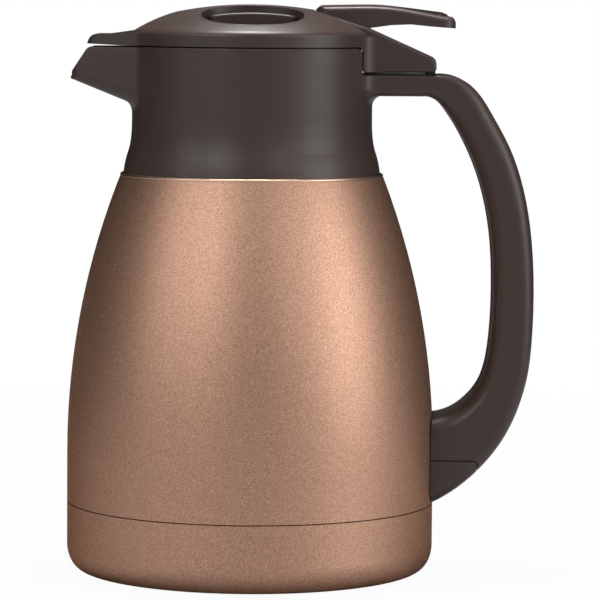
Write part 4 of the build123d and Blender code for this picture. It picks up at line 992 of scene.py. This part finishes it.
@dataclass
class StopperSet(SubAssembly):
    """The stopper, the valve through it and their seals."""

    title: str = "stopper and valve"
    finishes: dict[str, Finish] = field(default_factory=lambda: {
        "stopper_plug": BLACK, "valve_stem": BLACK, "valve_gasket": SEAL, "stem_clip": BLACK,
        "stem_seal": SEAL,
    })
    valve_coil: Spring = Spring(
        "valve_coil", "valve_spring", "valve_lift", UP,
        fixed=182.0, travel=2.8, radius=6.0, wire=0.5, turns=5.0, finish=FITTINGS,
    )
    seal_inner: float = 31.05
    seal_outer: float = 35.6
    seal_low: float = 171.5
    seal_high: float = 173.65
    seal_softness: float = 0.22
    lip_depth: float = 0.75
    lip_share: float = 1 / 6
    groove_share: float = 0.4
    steps: int = 224

    def lipped_seal(self) -> None:
        """Make the stopper's silicone ring with its two sealing lips."""
        low, high = self.seal_low, self.seal_high
        rise, inset = (high - low) * self.lip_share, (high - low) * self.groove_share
        waist = self.seal_outer - self.lip_depth
        outline = [
            (self.seal_inner, low), (waist, low), (self.seal_outer, low + rise),
            (waist, low + inset), (waist, high - inset), (self.seal_outer, high - rise),
            (waist, high), (self.seal_inner, high),
        ]
        soft = round_corners(outline, self.seal_softness)
        made = self.add_turned("stopper_seal_lips", soft, self.steps, Slot.SILICONE, SEAL, Body.LID)
        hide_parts("stopper_gasket")

    def build(self) -> None:
        """Dress the nodes and make the pieces."""
        self.dress_nodes()
        self.lipped_seal()
        self.add_spring(self.valve_coil)


@dataclass(frozen=True)
class Lamp:
    """A soft box that hangs at a bearing round the carafe."""

    name: str
    power: float
    width: float
    tall: float
    bearing: float
    reach: float
    height: float

    def hang(self, aim: Place) -> None:
        """Place the lamp.

        Args:
            aim: The point that it looks at.
        """
        data = bpy.data.lights.new(self.name, "AREA")
        data.shape = "RECTANGLE"
        data.size, data.size_y = self.width, self.tall
        data.energy = self.power
        made = bpy.data.objects.new(self.name, data)
        bpy.context.scene.collection.objects.link(made)
        angle = math.radians(self.bearing)
        place = Vector((self.reach * math.sin(angle), -self.reach * math.cos(angle), self.height))
        turn = (Vector(aim) - place).to_track_quat("-Z", "Y")
        made.matrix_world = Matrix.Translation(place) @ turn.to_matrix().to_4x4()


@dataclass
class Studio:
    """Floor, lamps, side cards, surroundings and camera."""

    floor_size: float = 6.0
    floor_tone: float = 0.42
    floor_glow: tuple[float, float] = (0.955, 1.0)
    floor_fade: tuple[float, float] = (0.12, 0.7)
    card_size: tuple[float, float] = (0.7, 0.9)
    card_tone: float = 0.012
    card_left: Place = (-0.42, 0.32, 0.30)
    card_right: Place = (0.48, 0.32, 0.30)
    card_aim: Place = (0.0, 0.0, 0.15)
    lamps: tuple[Lamp, ...] = (
        Lamp("side_left", power=3.6, width=0.45, tall=0.9, bearing=-60.0, reach=1.4, height=0.75),
        Lamp("front_left", power=5.8, width=0.45, tall=0.9, bearing=-30.0, reach=1.4, height=0.85),
        Lamp("front_right", power=2.8, width=0.45, tall=0.9, bearing=30.0, reach=1.4, height=0.85),
        Lamp("side_right", power=8.6, width=0.75, tall=0.9, bearing=66.0, reach=1.4, height=0.50),
        Lamp("overhead", power=20.0, width=0.4, tall=0.4, bearing=0.0, reach=-0.1, height=1.3),
    )
    lamp_aim: Place = (0.0, 0.0, 0.12)
    ambient: float = 0.09
    camera_place: Place = (0.0174, -1.2532, 0.2048)
    camera_pitch: float = 4.969
    camera_roll: float = 0.4205
    camera_near: float = 0.05
    camera_far: float = 50.0
    focal_pixels: float = 3545.2
    image_pixels: float = 600.0
    sensor_mm: float = 36.0

    def plane(self, name: str, size: tuple[float, float], place: Place, facing: Place,
              material: bpy.types.Material) -> bpy.types.Object:
        """Make a flat sheet that faces a point.

        Args:
            name: The object's name.
            size: Its two sizes.
            place: Its centre.
            facing: The point that its front looks at.
            material: What it is made of.

        Returns:
            The object, linked.
        """
        mesh = bpy.data.meshes.new(name)
        x, y = size[0] / 2, size[1] / 2
        mesh.from_pydata([(-x, -y, 0), (x, -y, 0), (x, y, 0), (-x, y, 0)], [], [(0, 1, 2, 3)])
        mesh.materials.append(material)
        made = bpy.data.objects.new(name, mesh)
        bpy.context.scene.collection.objects.link(made)
        turn = (Vector(facing) - Vector(place)).to_track_quat("Z", "Y")
        made.matrix_world = Matrix.Translation(place) @ turn.to_matrix().to_4x4()
        return made

    def floor(self) -> None:
        """Lay a matt floor that the camera sees as nearly white, whiter away from the carafe."""
        made, graph = start_material("pale_floor")
        seen = graph.node("ShaderNodeLightPath", output="Is Camera Ray")
        tone = (self.floor_tone, self.floor_tone, self.floor_tone)
        matt = graph.node("ShaderNodeBsdfDiffuse", {}, {"Color": tone})
        glow = graph.node("ShaderNodeEmission", {}, {"Color": WHITE, "Strength": 1.0})
        length = {"operation": "LENGTH"}
        spread = graph.node("ShaderNodeVectorMath", length, [graph.place()], "Value")
        (near, far), (dim, full) = self.floor_fade, self.floor_glow
        ramp = {"Value": spread, "From Min": near, "From Max": far, "To Min": dim, "To Max": full}
        fade = graph.node("ShaderNodeMapRange", {"interpolation_type": "SMOOTHSTEP"}, ramp)
        lit = graph.node("ShaderNodeMixShader", {}, [seen * fade, matt, glow])
        graph.node("ShaderNodeOutputMaterial", {}, {"Surface": lit})
        self.plane("floor", (self.floor_size, self.floor_size), (0.0, 0.0, 0.0), UP, made)

    def card(self, name: str, place: Place) -> None:
        """Stand a dark card that the camera doesn't see beside the carafe, for the metal's edges.

        Args:
            name: The object's name.
            place: Its centre.
        """
        made, graph = start_material(name)
        tone = (self.card_tone, self.card_tone, self.card_tone)
        dark = graph.node("ShaderNodeBsdfDiffuse", {}, {"Color": tone})
        graph.node("ShaderNodeOutputMaterial", {}, {"Surface": dark})
        card = self.plane(name, self.card_size, place, self.card_aim, made)
        card.visible_camera = False
        card.visible_shadow = False

    def surroundings(self) -> None:
        """Set a white surrounding for the camera, and an even dim light for everything else."""
        made = bpy.data.worlds.new("surroundings")
        made.use_nodes = True
        graph = Graph(made.node_tree)
        seen = graph.node("ShaderNodeLightPath", output="Is Camera Ray")
        strength = seen * (1.0 - self.ambient) + self.ambient
        glow = graph.node("ShaderNodeBackground", {}, {"Color": WHITE, "Strength": strength})
        graph.node("ShaderNodeOutputWorld", {}, {"Surface": glow})
        bpy.context.scene.world = made

    def camera(self) -> None:
        """Stand the camera at its place, with its tilt and lens."""
        data = bpy.data.cameras.new("camera")
        data.sensor_width = self.sensor_mm
        data.sensor_fit = "HORIZONTAL"
        data.lens = self.focal_pixels / self.image_pixels * self.sensor_mm
        data.clip_start, data.clip_end = self.camera_near, self.camera_far
        made = bpy.data.objects.new("camera", data)
        bpy.context.scene.collection.objects.link(made)
        turn = Matrix.Rotation(math.radians(90 - self.camera_pitch), 4, "X")
        roll = Matrix.Rotation(math.radians(self.camera_roll), 4, "Z")
        made.matrix_world = Matrix.Translation(self.camera_place) @ turn @ roll
        bpy.context.scene.camera = made

    def build(self) -> None:
        """Set up the whole studio."""
        self.floor()
        self.card("flag_left", self.card_left)
        self.card("flag_right", self.card_right)
        for lamp in self.lamps:
            lamp.hang(self.lamp_aim)
        self.surroundings()
        self.camera()


def main() -> None:
    """Build the studio and the dressed carafe in order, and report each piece."""
    logging.basicConfig(level=logging.INFO, format="%(name)s: %(message)s")
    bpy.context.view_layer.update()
    bpy.context.scene.view_settings.view_transform = "Standard"
    Studio().build()
    wardrobe = Wardrobe()
    for kind in (SteelBody, CollarAndHandle, LidSet, StopperSet):
        sub_assembly = kind(wardrobe)
        sub_assembly.build()
        for report in sub_assembly.reports:
            log.info("%s: %s", sub_assembly.title, report)


if __name__ == "__main__":
    main()
